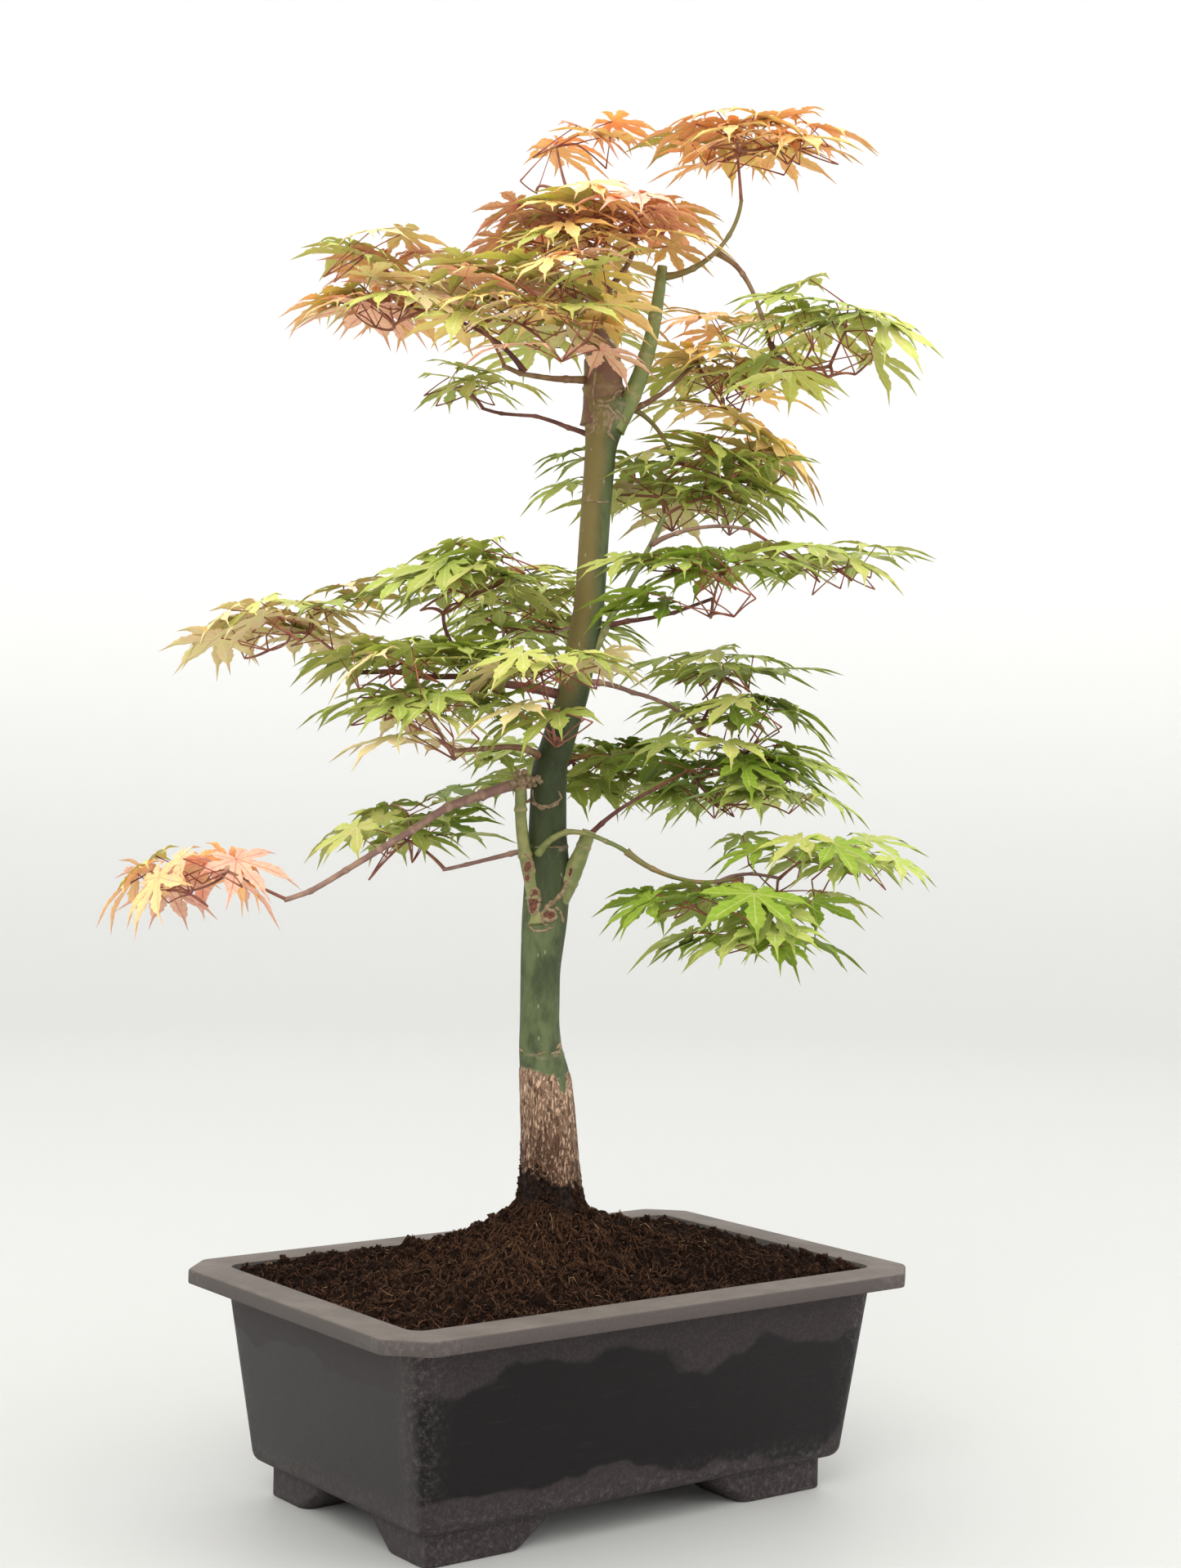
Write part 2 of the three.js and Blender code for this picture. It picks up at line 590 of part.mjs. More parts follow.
/** A mass's twigs: each shoot joins the nearest point of what has grown so far. */
function growTwigs(mass, start, draw) {
  const grown = [{ point: start, age: 0 }];
  const twigs = [];
  const ends = shootEnds(mass, draw).sort((a, b) => a.distanceTo(start) - b.distanceTo(start));
  for (const end of ends) {
    const root = grown.reduce((best, knot) => {
      const cost = (candidate) => candidate.point.distanceTo(end) + SHOOT.age * candidate.age;
      return cost(knot) < cost(best) ? knot : best;
    });
    const along = end.clone().sub(root.point).normalize();
    const kink = new THREE.Vector3(-along.y, along.x, 0).multiplyScalar(TWIG.kink * (2 * draw() - 1));
    const middle = root.point.clone().lerp(end, 0.5).add(kink);
    middle.z -= TWIG.kink * draw();
    const thick = Math.max(TWIG.root - TWIG.thin * root.age, TWIG.tip);
    const tip = end.clone().addScaledVector(along, TWIG.knot / 2);
    twigs.push({ points: [root.point, middle, tip], radii: [thick, TWIG.tip, TWIG.knot] });
    grown.push({ point: end, age: root.age + 1 });
  }
  return { twigs, knots: grown.slice(1) };
}

/** One leaf tried at a knot: an even share of the circle each, turned more with each try. */
function tryLeaf(mass, knot, heading, index, attempt, draw) {
  const spread = (index + 0.5) / LEAVES_ON_SHOOT - 0.5;
  const scatter = LEAF_SCATTER.first + LEAF_SCATTER.more * attempt;
  const azimuth = heading + LEAF_CIRCLE * spread + (draw() - 0.5) * scatter;
  const climb = THREE.MathUtils.degToRad(between(LEAF.petioleClimb, draw()));
  const petiole = between(LEAF.petioleReach, draw());
  const droop = THREE.MathUtils.degToRad(between(LEAF.droop, draw()));
  const turn = (draw() - 0.5) * LEAF.turn;
  const roll = (draw() - 0.5) * LEAF.roll;
  const reach = LEAF.reach * between(LEAF.size, draw()) * (1 - LEAF_SCATTER.shrink * attempt);
  const frame = leafPose(knot.point, azimuth, climb, petiole, turn, droop, roll);
  const made = leaf(knot.point, frame, reach);
  return made.reach.every((point) => inSpace(mass, point)) ? made.solid : null;
}

/** The leaves of a mass that keep to its space, clear of each other, limbs and neighbours. */
function growLeaves(mass, seed, start, knots, obstacles) {
  const leaves = [];
  knots.forEach((knot, knotIndex) => {
    const heading = Math.atan2(knot.point.y - start.y, knot.point.x - start.x);
    for (let index = 0; index < LEAVES_ON_SHOOT; index++) {
      for (let attempt = 0; attempt < LEAF_TRIES; attempt++) {
        const leafSeed = seed * LEAF_SEED.mass + knotIndex * LEAF_SEED.knot + index * LEAF_SEED.leaf;
        const draw = stream(leafSeed + attempt);
        const solid = tryLeaf(mass, knot, heading, index, attempt, draw);
        if (solid && !touchesAny(solid, leaves) && !touchesAny(solid, obstacles)) {
          leaves.push(solid);
          break;
        }
      }
    }
  });
  return leaves;
}

/** Where a mass's stem starts: just clear of its bough's tip, or of the trunk's side. */
function stemStart(mass, rooms) {
  const aim = place(mass.at);
  if (!mass.from) {
    const curve = limbCurve(LIMBS[mass.on]);
    return curve.getPoint(1).addScaledVector(curve.getTangent(1), GAP);
  }
  const start = place(mass.from);
  const level = new THREE.Vector3(aim.x - start.x, aim.y - start.y, 0).normalize();
  const room = rooms[mass.on];
  const far = start.clone().addScaledVector(level, PROBE.length);
  const edge = twig([start, far], [PROBE.radius, PROBE.radius]).subtract(room).boundingBox();
  const near = (axis) => (level.getComponent(axis) > 0 ? edge.min[axis] : edge.max[axis]);
  return new THREE.Vector3(near(0), near(1), start.z).addScaledVector(level, GAP);
}

/** All the masses of leaves, each grown clear of the limbs and of the masses before it. */
function masses(rooms) {
  const solids = {};
  Object.entries(MASSES).forEach(([name, mass], index) => {
    const draw = stream(index + 1);
    const start = stemStart(mass, rooms);
    const { twigs, knots } = growTwigs(mass, start, draw);
    const obstacles = [...Object.values(rooms), ...Object.values(solids)];
    const leaves = growLeaves(mass, index + 1, start, knots, obstacles);
    let solid = twigs.map(({ points, radii }) => twig(points, radii)).reduce((sum, piece) => sum.add(piece));
    for (const obstacle of obstacles) {
      if (boxesMeet(solid.boundingBox(), obstacle.boundingBox())) solid = solid.subtract(obstacle);
    }
    solid = leaves.reduce((sum, piece) => sum.add(piece), solid);
    solids[name] = largestBody(solid);
  });
  return solids;
}

// The whole plant

const tree = new THREE.Group();
tree.rotation.z = TREE_TURN;
const { solids: limbSolids, rooms } = limbs(trunk(0), trunk(GAP));
for (const [name, solid] of Object.entries(limbSolids)) {
  tree.add(meshOf(name, solid, ...(name === "trunk" ? GREEN_BARK : BROWN_BARK)));
}
for (const [name, solid] of Object.entries(masses(rooms))) {
  tree.add(meshOf(name, solid, TINTS[MASSES[name].tint], LEAF_ROUGHNESS));
}

const plant = new THREE.Group();
plant.add(meshOf("pot", pot(), ...PLASTIC));
plant.add(meshOf("soil", soil(), ...COMPOST));
plant.add(tree);

// The frame's origin is under the middle of the whole plant's box.
plant.updateMatrixWorld(true);
const box = new THREE.Box3().setFromObject(plant, true);
plant.position.set(-(box.min.x + box.max.x) / 2, -(box.min.y + box.max.y) / 2, 0);

export default plant;
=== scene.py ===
"""A young Japanese maple bonsai in a low rectangular training pot."""

import json
import logging
import math
from dataclasses import dataclass, field
from enum import Enum
from functools import partial
from typing import Callable, Sequence

import bmesh
import bpy
import numpy as np
from mathutils import Matrix, Vector
from mathutils.bvhtree import BVHTree

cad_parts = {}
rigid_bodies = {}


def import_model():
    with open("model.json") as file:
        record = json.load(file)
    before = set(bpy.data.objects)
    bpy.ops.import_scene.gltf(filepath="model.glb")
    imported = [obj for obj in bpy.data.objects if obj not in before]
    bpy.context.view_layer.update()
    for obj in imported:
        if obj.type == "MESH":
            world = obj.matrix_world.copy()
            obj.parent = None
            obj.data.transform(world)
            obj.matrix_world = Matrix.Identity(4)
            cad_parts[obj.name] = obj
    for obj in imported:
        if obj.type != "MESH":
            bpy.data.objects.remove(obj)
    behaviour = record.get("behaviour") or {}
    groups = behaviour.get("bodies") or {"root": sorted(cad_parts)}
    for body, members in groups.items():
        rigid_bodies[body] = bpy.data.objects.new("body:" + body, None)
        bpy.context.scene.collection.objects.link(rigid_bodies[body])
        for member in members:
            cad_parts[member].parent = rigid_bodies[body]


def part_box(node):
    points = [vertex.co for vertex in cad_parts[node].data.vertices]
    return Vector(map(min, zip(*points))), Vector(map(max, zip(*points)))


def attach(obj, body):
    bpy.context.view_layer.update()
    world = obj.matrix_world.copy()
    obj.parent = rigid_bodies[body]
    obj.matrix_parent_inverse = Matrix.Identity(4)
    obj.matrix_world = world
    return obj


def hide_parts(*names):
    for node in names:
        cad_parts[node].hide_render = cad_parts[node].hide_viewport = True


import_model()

MM = 0.001
# a height in metres within which two places are level
HAIR = 1e-5
# the tree stands turned in the frame
TREE_TURN = math.radians(-36.84)
TREE_SPIN = np.array(
    [
        [math.cos(TREE_TURN), -math.sin(TREE_TURN), 0.0],
        [math.sin(TREE_TURN), math.cos(TREE_TURN), 0.0],
        [0.0, 0.0, 1.0],
    ]
)
GOLDEN_ANGLE = math.pi * (3 - math.sqrt(5))
WRAP = 2**32
# large odd factors that stir the numbers of a noise cell
STIR_X, STIR_Y, STIR_Z, STIR_SEED, STIR_LAST = 374761393, 668265263, 2147483647, 1274126177, 2246822519
log = logging.getLogger("bonsai")

Pair = tuple[float, float]
Triple = tuple[float, float, float]
Socket = bpy.types.NodeSocket
Add = Callable[..., Socket]
Array = np.ndarray
Piece = bpy.types.Object
Draw = np.random.Generator
# a knot that bears leaves: its place, its heading and how many leaves it bears at most
Knot = tuple[Array, float, int]


# Places and sums


def pot_middle() -> Array:
    """The middle of the pot on the table, in metres."""
    low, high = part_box("pot")
    return np.array([(low.x + high.x) / 2, (low.y + high.y) / 2, 0.0])


POT_MIDDLE = pot_middle()


def on_tree(points: Array) -> Array:
    """Turn the tree's millimetre places into the frame's metres.

    Args:
        points: Rows of x, y, z on the unturned tree, in millimetres.

    Returns:
        The same rows in the row frame, in metres.
    """
    return np.asarray(points) @ TREE_SPIN.T * MM + POT_MIDDLE


def place(right_front_up: Sequence[float]) -> Array:
    """The x, y, z of a place given as right, front and up."""
    right, front, up = right_front_up
    return np.array([right, -front, up], float)


def between(limits: Sequence[float], share: float) -> float:
    """The value a share of the way from the first limit to the second."""
    return limits[0] + (limits[1] - limits[0]) * share


def smooth(low: float, high: float, value: Array) -> Array:
    """A soft step from 0 at low to 1 at high."""
    share = np.clip((value - low) / (high - low), 0, 1)
    return share * share * (3 - 2 * share)


def lattice(cells: Array, seed: int) -> Array:
    """A repeatable share from 0 to 1 for each whole-numbered cell.

    Args:
        cells: Rows of a cell's three numbers.
        seed: The seed of its chance.

    Returns:
        The shares.
    """
    x, y, z = (cells[..., axis].astype(np.int64) for axis in range(3))
    mixed = (x * STIR_X + y * STIR_Y + z * STIR_Z + seed * STIR_SEED) & (WRAP - 1)
    mixed = ((mixed ^ (mixed >> 13)) * STIR_SEED) & (WRAP - 1)
    mixed = ((mixed ^ (mixed >> 16)) * STIR_LAST) & (WRAP - 1)
    return (mixed ^ (mixed >> 15)) / (WRAP - 1)


def noise(points: Array, seed: int = 0) -> Array:
    """Soft value noise from 0 to 1 at each point of a field with cells of size 1.

    Args:
        points: Rows of places.
        seed: The seed of its chance.

    Returns:
        The noise at each place.
    """
    whole = np.floor(points)
    part = points - whole
    part = part * part * (3 - 2 * part)
    total = np.zeros(points.shape[:-1])
    for corner in range(8):
        step = np.array([corner & 1, (corner >> 1) & 1, (corner >> 2) & 1])
        share = np.prod(np.where(step, part, 1 - part), axis=-1)
        total += share * lattice(whole + step, seed)
    return total


def rough(points: Array, octaves: int, seed: int = 0) -> Array:
    """Layers of noise, each half as large and half as strong, from 0 to 1.

    Args:
        points: Rows of places.
        octaves: How many layers there are.
        seed: The seed of its chance.

    Returns:
        The noise at each place.
    """
    total = np.zeros(points.shape[:-1])
    for octave in range(octaves):
        total += noise(points * 2**octave + 17.3 * octave, seed + octave) * 0.5**octave
    return total / (2 - 0.5 ** (octaves - 1))


def running(path: Array) -> Array:
    """How far along a path each of its places lies."""
    return np.concatenate([[0], np.linalg.norm(np.diff(path, axis=0), axis=1).cumsum()])


def bow(first: Array, pull: Array, last: Array, count: int) -> Array:
    """Evenly timed places on a curve from the first place to the last, drawn towards a pull."""
    t = np.linspace(0, 1, count)[:, None]
    return (1 - t) ** 2 * first + 2 * (1 - t) * t * pull + t**2 * last


class Stream:
    """A repeatable stream of shares from 0 to 1, the same as the solids' own.

    Attributes:
        FACTOR: What each number is multiplied by for the next.
        ADDED: What is then added.
    """

    FACTOR = 1664525
    ADDED = 1013904223

    def __init__(self, seed: int) -> None:
        """Start the stream at a whole-numbered seed, which is spread out and stirred first.

        Args:
            seed: The seed.
        """
        self.state = (seed * 7919 + 104729) % WRAP
        self.draw()
        self.draw()

    def draw(self) -> float:
        """The next share."""
        self.state = (self.state * self.FACTOR + self.ADDED) % WRAP
        return self.state / WRAP

    def within(self, limits: Sequence[float]) -> float:
        """The next value between two limits."""
        return between(limits, self.draw())


# Meshes


def put(name: str, data: bpy.types.ID) -> Piece:
    """Put a new object with its data into the scene.

    Args:
        name: Its name.
        data: Its mesh, lamp or camera.

    Returns:
        The object.
    """
    made = bpy.data.objects.new(name, data)
    bpy.context.scene.collection.objects.link(made)
    return made


@dataclass
class Heap:
    """Vertices and faces that become one joined mesh.

    Attributes:
        points: Blocks of vertices, in millimetres on the unturned tree or metres in the frame.
        faces: Faces as lists of vertex numbers.
        values: Blocks of a value for each vertex, by attribute name.
        count: How many vertices there are so far.
    """

    points: list[Array] = field(default_factory=list)
    faces: list[list[int]] = field(default_factory=list)
    values: dict[str, list[Array]] = field(default_factory=dict)
    count: int = 0

    def add(self, points: Array, faces: Sequence[Sequence[int]], **values: Array) -> None:
        """Add one closed or flat shape.

        Args:
            points: Its vertices.
            faces: Its faces, numbered from its own first vertex.
            values: Its attributes, with a row or number for each vertex.
        """
        start = self.count
        self.points.append(points)
        self.faces.extend([[start + i for i in face] for face in faces])
        for name, block in values.items():
            self.values.setdefault(name, []).append(np.asarray(block, float))
        self.count += len(points)

    def piece(self, name: str, finish: bpy.types.Material, turned: bool = True) -> Piece:
        """Make the mesh object.

        Args:
            name: The piece's name.
            finish: Its material.
            turned: Whether the points are millimetres on the unturned tree.

        Returns:
            The new object, at the origin, with its place in its mesh.
        """
        points = np.concatenate(self.points)
        mesh = bpy.data.meshes.new(name)
        mesh.from_pydata((on_tree(points) if turned else points).tolist(), [], self.faces)
        for key, blocks in self.values.items():
            block = np.concatenate(blocks)
            kind = "FLOAT_VECTOR" if block.ndim == 2 else "FLOAT"
            layer = mesh.attributes.new(key, kind, "POINT")
            layer.data.foreach_set("vector" if block.ndim == 2 else "value", block.ravel())
        mesh.polygons.foreach_set("use_smooth", [True] * len(mesh.polygons))
        mesh.update()
        mesh.materials.append(finish)
        return put(name, mesh)


def tube_faces(sides: int, rings: int) -> list[list[int]]:
    """The faces of a closed tube, facing out, with flat ends.

    Args:
        sides: How many points are in a ring.
        rings: How many rings there are.

    Returns:
        The faces as lists of vertex numbers.
    """
    walls = [
        [first + side, first + (side + 1) % sides, first + (side + 1) % sides + sides, first + side + sides]
        for first in range(0, (rings - 1) * sides, sides)
        for side in range(sides)
    ]
    return [*walls, list(range(sides))[::-1], list(range((rings - 1) * sides, rings * sides))]


def tube_points(path: Array, radii: Array, sides: int) -> Array:
    """The points of a tube along a path, each ring carried on from the last without twist.

    Args:
        path: Rows of middles.
        radii: A radius for each middle, or a row of radii for each ring.
        sides: How many points are in a ring.

    Returns:
        The points, ring by ring.
    """
    along = np.gradient(path, axis=0)
    along /= np.linalg.norm(along, axis=1, keepdims=True)
    seed = np.array([0.0, 0.0, 1.0]) if abs(along[0][2]) < 0.9 else np.array([1.0, 0.0, 0.0])
    across = np.cross(seed, along[0])
    radii = np.asarray(radii, float)
    radii = radii[:, None] if radii.ndim == 1 else radii
    angles = 2 * np.pi * np.arange(sides) / sides
    cosines, sines = np.cos(angles)[:, None], np.sin(angles)[:, None]
    rings = []
    for middle, forward, radius in zip(path, along, radii):
        across = across - forward * (across @ forward)
        across = across / np.linalg.norm(across)
        up = np.cross(forward, across)
        rings.append(middle + radius[:, None] * (cosines * across + sines * up))
    return np.concatenate(rings)


class Part(Enum):
    """What edit mode selects."""

    EDGE = "edges"
    FACE = "faces"


def block(name: str, low: Sequence[float], high: Sequence[float]) -> Piece:
    """Add a box between two corners, given in metres, with its place in its mesh.

    Args:
        name: Its name.
        low: Its lowest corner.
        high: Its highest corner.

    Returns:
        The box.
    """
    bpy.ops.object.select_all(action="DESELECT")
    middle = [(a + b) / 2 for a, b in zip(low, high)]
    bpy.ops.mesh.primitive_cube_add(size=1, location=middle)
    made = bpy.context.object
    made.name = name
    made.scale = [b - a for a, b in zip(low, high)]
    bpy.ops.object.transform_apply(location=True, rotation=True, scale=True)
    return made


def pick(piece: Piece) -> None:
    """Make a piece the active one, and the only one that is selected.

    Args:
        piece: The piece.
    """
    bpy.ops.object.select_all(action="DESELECT")
    piece.select_set(True)
    bpy.context.view_layer.objects.active = piece


def choose(piece: Piece, part: Part, test: Callable) -> None:
    """Go into edit mode on a piece and select the parts that pass a test.

    Args:
        piece: The piece.
        part: What kind of element is selected.
        test: Tells for an element whether it is wanted.
    """
    pick(piece)
    bpy.ops.object.mode_set(mode="EDIT")
    bpy.ops.mesh.select_mode(type=part.name)
    bpy.ops.mesh.select_all(action="DESELECT")
    shape = bmesh.from_edit_mesh(piece.data)
    for element in getattr(shape, part.value):
        if test(element):
            element.select_set(True)
    bmesh.update_edit_mesh(piece.data)


def done() -> None:
    """Leave edit mode."""
    bpy.ops.object.mode_set(mode="OBJECT")


def upright(edge: bmesh.types.BMEdge) -> bool:
    """Whether an edge runs mostly up."""
    run = edge.verts[1].co - edge.verts[0].co
    return abs(run.z) > 0.8 * run.length


def level_at(height: float) -> Callable:
    """A test for edges that lie level at a height."""
    return lambda edge: all(abs(v.co.z - height) < HAIR for v in edge.verts)


def bevel(piece: Piece, test: Callable, width: float, segments: int) -> None:
    """Bevel the edges of a piece that pass a test.

    Args:
        piece: The piece.
        test: Tells for an edge whether it is wanted.
        width: The bevel's width in metres.
        segments: How many steps round it has.
    """
    choose(piece, Part.EDGE, test)
    bpy.ops.mesh.bevel(offset=width, segments=segments, affect="EDGES")
    done()


def apply_modifier(piece: Piece, kind: str, **settings: object) -> None:
    """Add a modifier with its settings and apply it.

    Args:
        piece: The piece.
        kind: The modifier's type.
        settings: Its properties.
    """
    pick(piece)
    modifier = piece.modifiers.new(kind.lower(), kind)
    for key, value in settings.items():
        setattr(modifier, key, value)
    bpy.ops.object.modifier_apply(modifier=modifier.name)


# Finishes

# a soft step, and a mix of two colours: inputs 0, 6 and 7 are its share and the colours below and above
SOFT = {"interpolation_type": "SMOOTHSTEP"}
COLOURS = {"output": 2, "data_type": "RGBA"}


def colour(code: str) -> tuple[float, float, float, float]:
    """Turn an sRGB hex code into a linear colour with full alpha.

    Args:
        code: The code, with its number sign.

    Returns:
        Red, green, blue and alpha from 0 to 1.
    """
    shares = [int(code[i : i + 2], 16) / 255 for i in (1, 3, 5)]
    linear = [s / 12.92 if s <= 0.04045 else ((s + 0.055) / 1.055) ** 2.4 for s in shares]
    return (*linear, 1.0)


def per(size_mm: float) -> float:
    """The scale of a pattern whose lumps are about a size in millimetres, on a place in metres."""
    return 1 / MM / size_mm


def node(
    tree: bpy.types.NodeTree, kind: str, inputs: dict | Sequence = (), output: int | str = 0, **settings: object
) -> Socket:
    """Add one shader node.

    Args:
        tree: The material's node tree.
        kind: The node's type, without the ShaderNode in front.
        inputs: A socket to link, or a value to set, for each input by name or number, or in their order.
        output: The name or number of the output that is wanted.
        settings: The node's own properties.

    Returns:
        The wanted output.
    """
    made = tree.nodes.new(f"ShaderNode{kind}")
    for key, value in settings.items():
        setattr(made, key, value)
    for key, value in inputs.items() if isinstance(inputs, dict) else enumerate(inputs):
        if isinstance(value, Socket):
            tree.links.new(value, made.inputs[key])
        else:
            made.inputs[key].default_value = value
    return made.outputs[output]


@dataclass(frozen=True)
class Finish:
    """A surface that is built as one material.

    Attributes:
        name: The material's name.
        roughness: The shader's roughness.
        specular: The shader's specular level.
    """

    name: str
    roughness: float
    specular: float

    def build(self) -> bpy.types.Material:
        """Make the material, or find it if it is made already.

        Returns:
            The material.
        """
        found = bpy.data.materials.get(self.name)
        if found:
            return found
        made = bpy.data.materials.new(self.name)
        made.use_nodes = True
        tree = made.node_tree
        shader = next(n for n in tree.nodes if n.type == "BSDF_PRINCIPLED")
        shader.inputs["Roughness"].default_value = self.roughness
        shader.inputs["Specular IOR Level"].default_value = self.specular
        add = partial(node, tree)
        for name, socket in self.dress(add, add("TexCoord", output="Object")).items():
            tree.links.new(socket, shader.inputs[name])
        return made

    def dress(self, add: Add, spot: Socket) -> dict[str, Socket]:
        """Add the pattern; each finish has its own.

        Args:
            add: Adds a node to the material.
            spot: The place on the surface in metres.

        Returns:
            What drives the shader, by the names of its inputs.
        """
        raise NotImplementedError


@dataclass(frozen=True)
class Polypropylene(Finish):
    """Moulded polypropylene: matte, dark, dusted and scuffed, paler where dust settles.

    Attributes:
        body: The clean plastic.
        dusty: The dusted plastic.
        short_side_painted_light: Its short sides, painted paler than the long ones as painted light from the
            side.
        settled: Dust on what faces up.
        thinner: The same where less of it lies.
        scuff: Scratches and rubbed corners.
        middle: The pot's middle in metres.
    """

    body: str = "#0d090a"
    dusty: str = "#3b3334"
    short_side_painted_light: str = "#444140"
    settled: str = "#7f766e"
    thinner: str = "#6c645d"
    scuff: str = "#7a7270"
    middle: Pair = (0.0, 0.0)

    def dress(self, add: Add, spot: Socket) -> dict[str, Socket]:
        """A smooth dark band between dusty ones, streaks, corner scuffs and a dusty rim.

        Args:
            add: Adds a node to the material.
            spot: The place on the surface in metres.

        Returns:
            What drives the shader.
        """
        spot = add("Mapping", {"Vector": spot, "Location": (-self.middle[0], -self.middle[1], 0.0)})
        x, y, z = add("SeparateXYZ", [spot]).node.outputs
        facing_x, _, facing_up = add("SeparateXYZ", [add("NewGeometry", output="Normal")]).node.outputs
        drift = add("TexNoise", {"Vector": spot, "Scale": per(70), "Detail": 2.0, "Roughness": 0.6})
        wave = add("TexNoise", {"Vector": spot, "Scale": per(22), "Detail": 4.0, "Roughness": 0.6})
        grit = add("TexNoise", {"Vector": spot, "Scale": per(1.6), "Detail": 4.0, "Roughness": 0.8})
        # the dark band ends at two heights in metres, which drift up and down with the noise
        level = add("Math", [drift, 0.06, z], operation="MULTIPLY_ADD")
        level = add("Math", [wave, 0.012, level], operation="MULTIPLY_ADD")
        below = add("MapRange", [level, 0.0655, 0.0685, 1.0, 0.0], **SOFT)
        above = add("MapRange", [level, 0.1175, 0.1205], **SOFT)
        dust = add("Math", [below, above], operation="ADD")
        specks = add("MapRange", [grit, 0.42, 0.62, 0.5, 1.0], **SOFT)
        dust = add("Math", [dust, specks], operation="MULTIPLY")
        side = add("Math", [facing_x], operation="ABSOLUTE")
        # streaks are long and level on the walls, about 1 mm thick
        stretched = add("Mapping", {"Vector": spot, "Scale": (0.07, 0.07, 1.0)})
        streak = add("TexNoise", {"Vector": stretched, "Scale": per(2.2), "Detail": 5.0, "Roughness": 0.7})
        # scuffs gather at the upright corners and the lower edge
        near_end = add("MapRange", [add("Math", [x], operation="ABSOLUTE"), 0.108, 0.132], **SOFT)
        near_side = add("MapRange", [add("Math", [y], operation="ABSOLUTE"), 0.060, 0.082], **SOFT)
        corner = add("Math", [near_end, near_side], operation="MULTIPLY")
        low_edge = add("MapRange", [z, 0.018, 0.034, 0.7, 0.0], **SOFT)
        worn = add("Math", [corner, low_edge], operation="MAXIMUM")
        marks = add("TexNoise", {"Vector": spot, "Scale": per(3), "Detail": 8.0, "Roughness": 0.85})
        marks = add("MapRange", [marks, 0.46, 0.7, 0.0, 0.6], **SOFT)
        nick = add("TexNoise", {"Vector": spot, "Scale": per(9), "Detail": 10.0, "Roughness": 0.9})
        base = colour(self.body)
        for share, coat in (
            (dust, self.dusty),
            # painted light: the short sides, found by their normals, are painted paler than the long ones
            (add("MapRange", [side, 0.6, 0.9, 0.0, 0.62], **SOFT), self.short_side_painted_light),
            (add("MapRange", [streak, 0.58, 0.78, 0.0, 0.3], **SOFT), self.dusty),
            (add("Math", [worn, marks], operation="MULTIPLY"), self.scuff),
            (add("MapRange", [nick, 0.68, 0.74, 0.0, 0.35], **SOFT), self.scuff),
            (add("MapRange", [z, 0.0965, 0.0985, 0.0, 0.25], **SOFT), self.settled),
        ):
            base = add("Mix", {0: share, 6: base, 7: colour(coat)}, **COLOURS)
        patches = add("MapRange", [wave, 0.3, 0.75], **SOFT)
        settled = add("Mix", {0: patches, 6: colour(self.thinner), 7: colour(self.settled)}, **COLOURS)
        on_top = add("MapRange", [facing_up, 0.45, 0.9, 0.0, 0.85], **SOFT)
        height = add("Math", [streak, 0.6, grit], operation="MULTIPLY_ADD")
        return {
            "Base Color": add("Mix", {0: on_top, 6: base, 7: settled}, **COLOURS),
            "Roughness": add("Math", [dust, 0.25, 0.5], operation="MULTIPLY_ADD"),
            "Normal": add("Bump", {"Height": height, "Distance": 0.16 * MM}),
        }


@dataclass(frozen=True)
class Speckled(Finish):
    """A matt mottled surface in three tones, such as compost, coir or callus.

    Attributes:
        dark: The colour of its hollows.
        light: Its main colour.
        fleck: Its brightest specks.
        lump_mm: How large its mottles are.
        depth_mm: How deep its relief is.
    """

    dark: str
    light: str
    fleck: str
    lump_mm: float
    depth_mm: float

    def dress(self, add: Add, spot: Socket) -> dict[str, Socket]:
        """Mottles at two scales, with bright specks.

        Args:
            add: Adds a node to the material.
            spot: The place on the surface in metres.

        Returns:
            What drives the shader.
        """
        large = add("TexNoise", {"Vector": spot, "Scale": per(self.lump_mm), "Detail": 3.0, "Roughness": 0.6})
        small = {"Vector": spot, "Scale": per(self.lump_mm / 4), "Detail": 5.0, "Roughness": 0.6}
        small = add("TexNoise", small)
        base = colour(self.dark)
        for share, coat in (
            (add("MapRange", [large, 0.35, 0.62], **SOFT), self.light),
            (add("MapRange", [small, 0.55, 0.72, 0.0, 0.8], **SOFT), self.fleck),
        ):
            base = add("Mix", {0: share, 6: base, 7: colour(coat)}, **COLOURS)
        relief = add("Bump", {"Height": small, "Distance": self.depth_mm * MM})
        return {"Base Color": base, "Normal": relief}


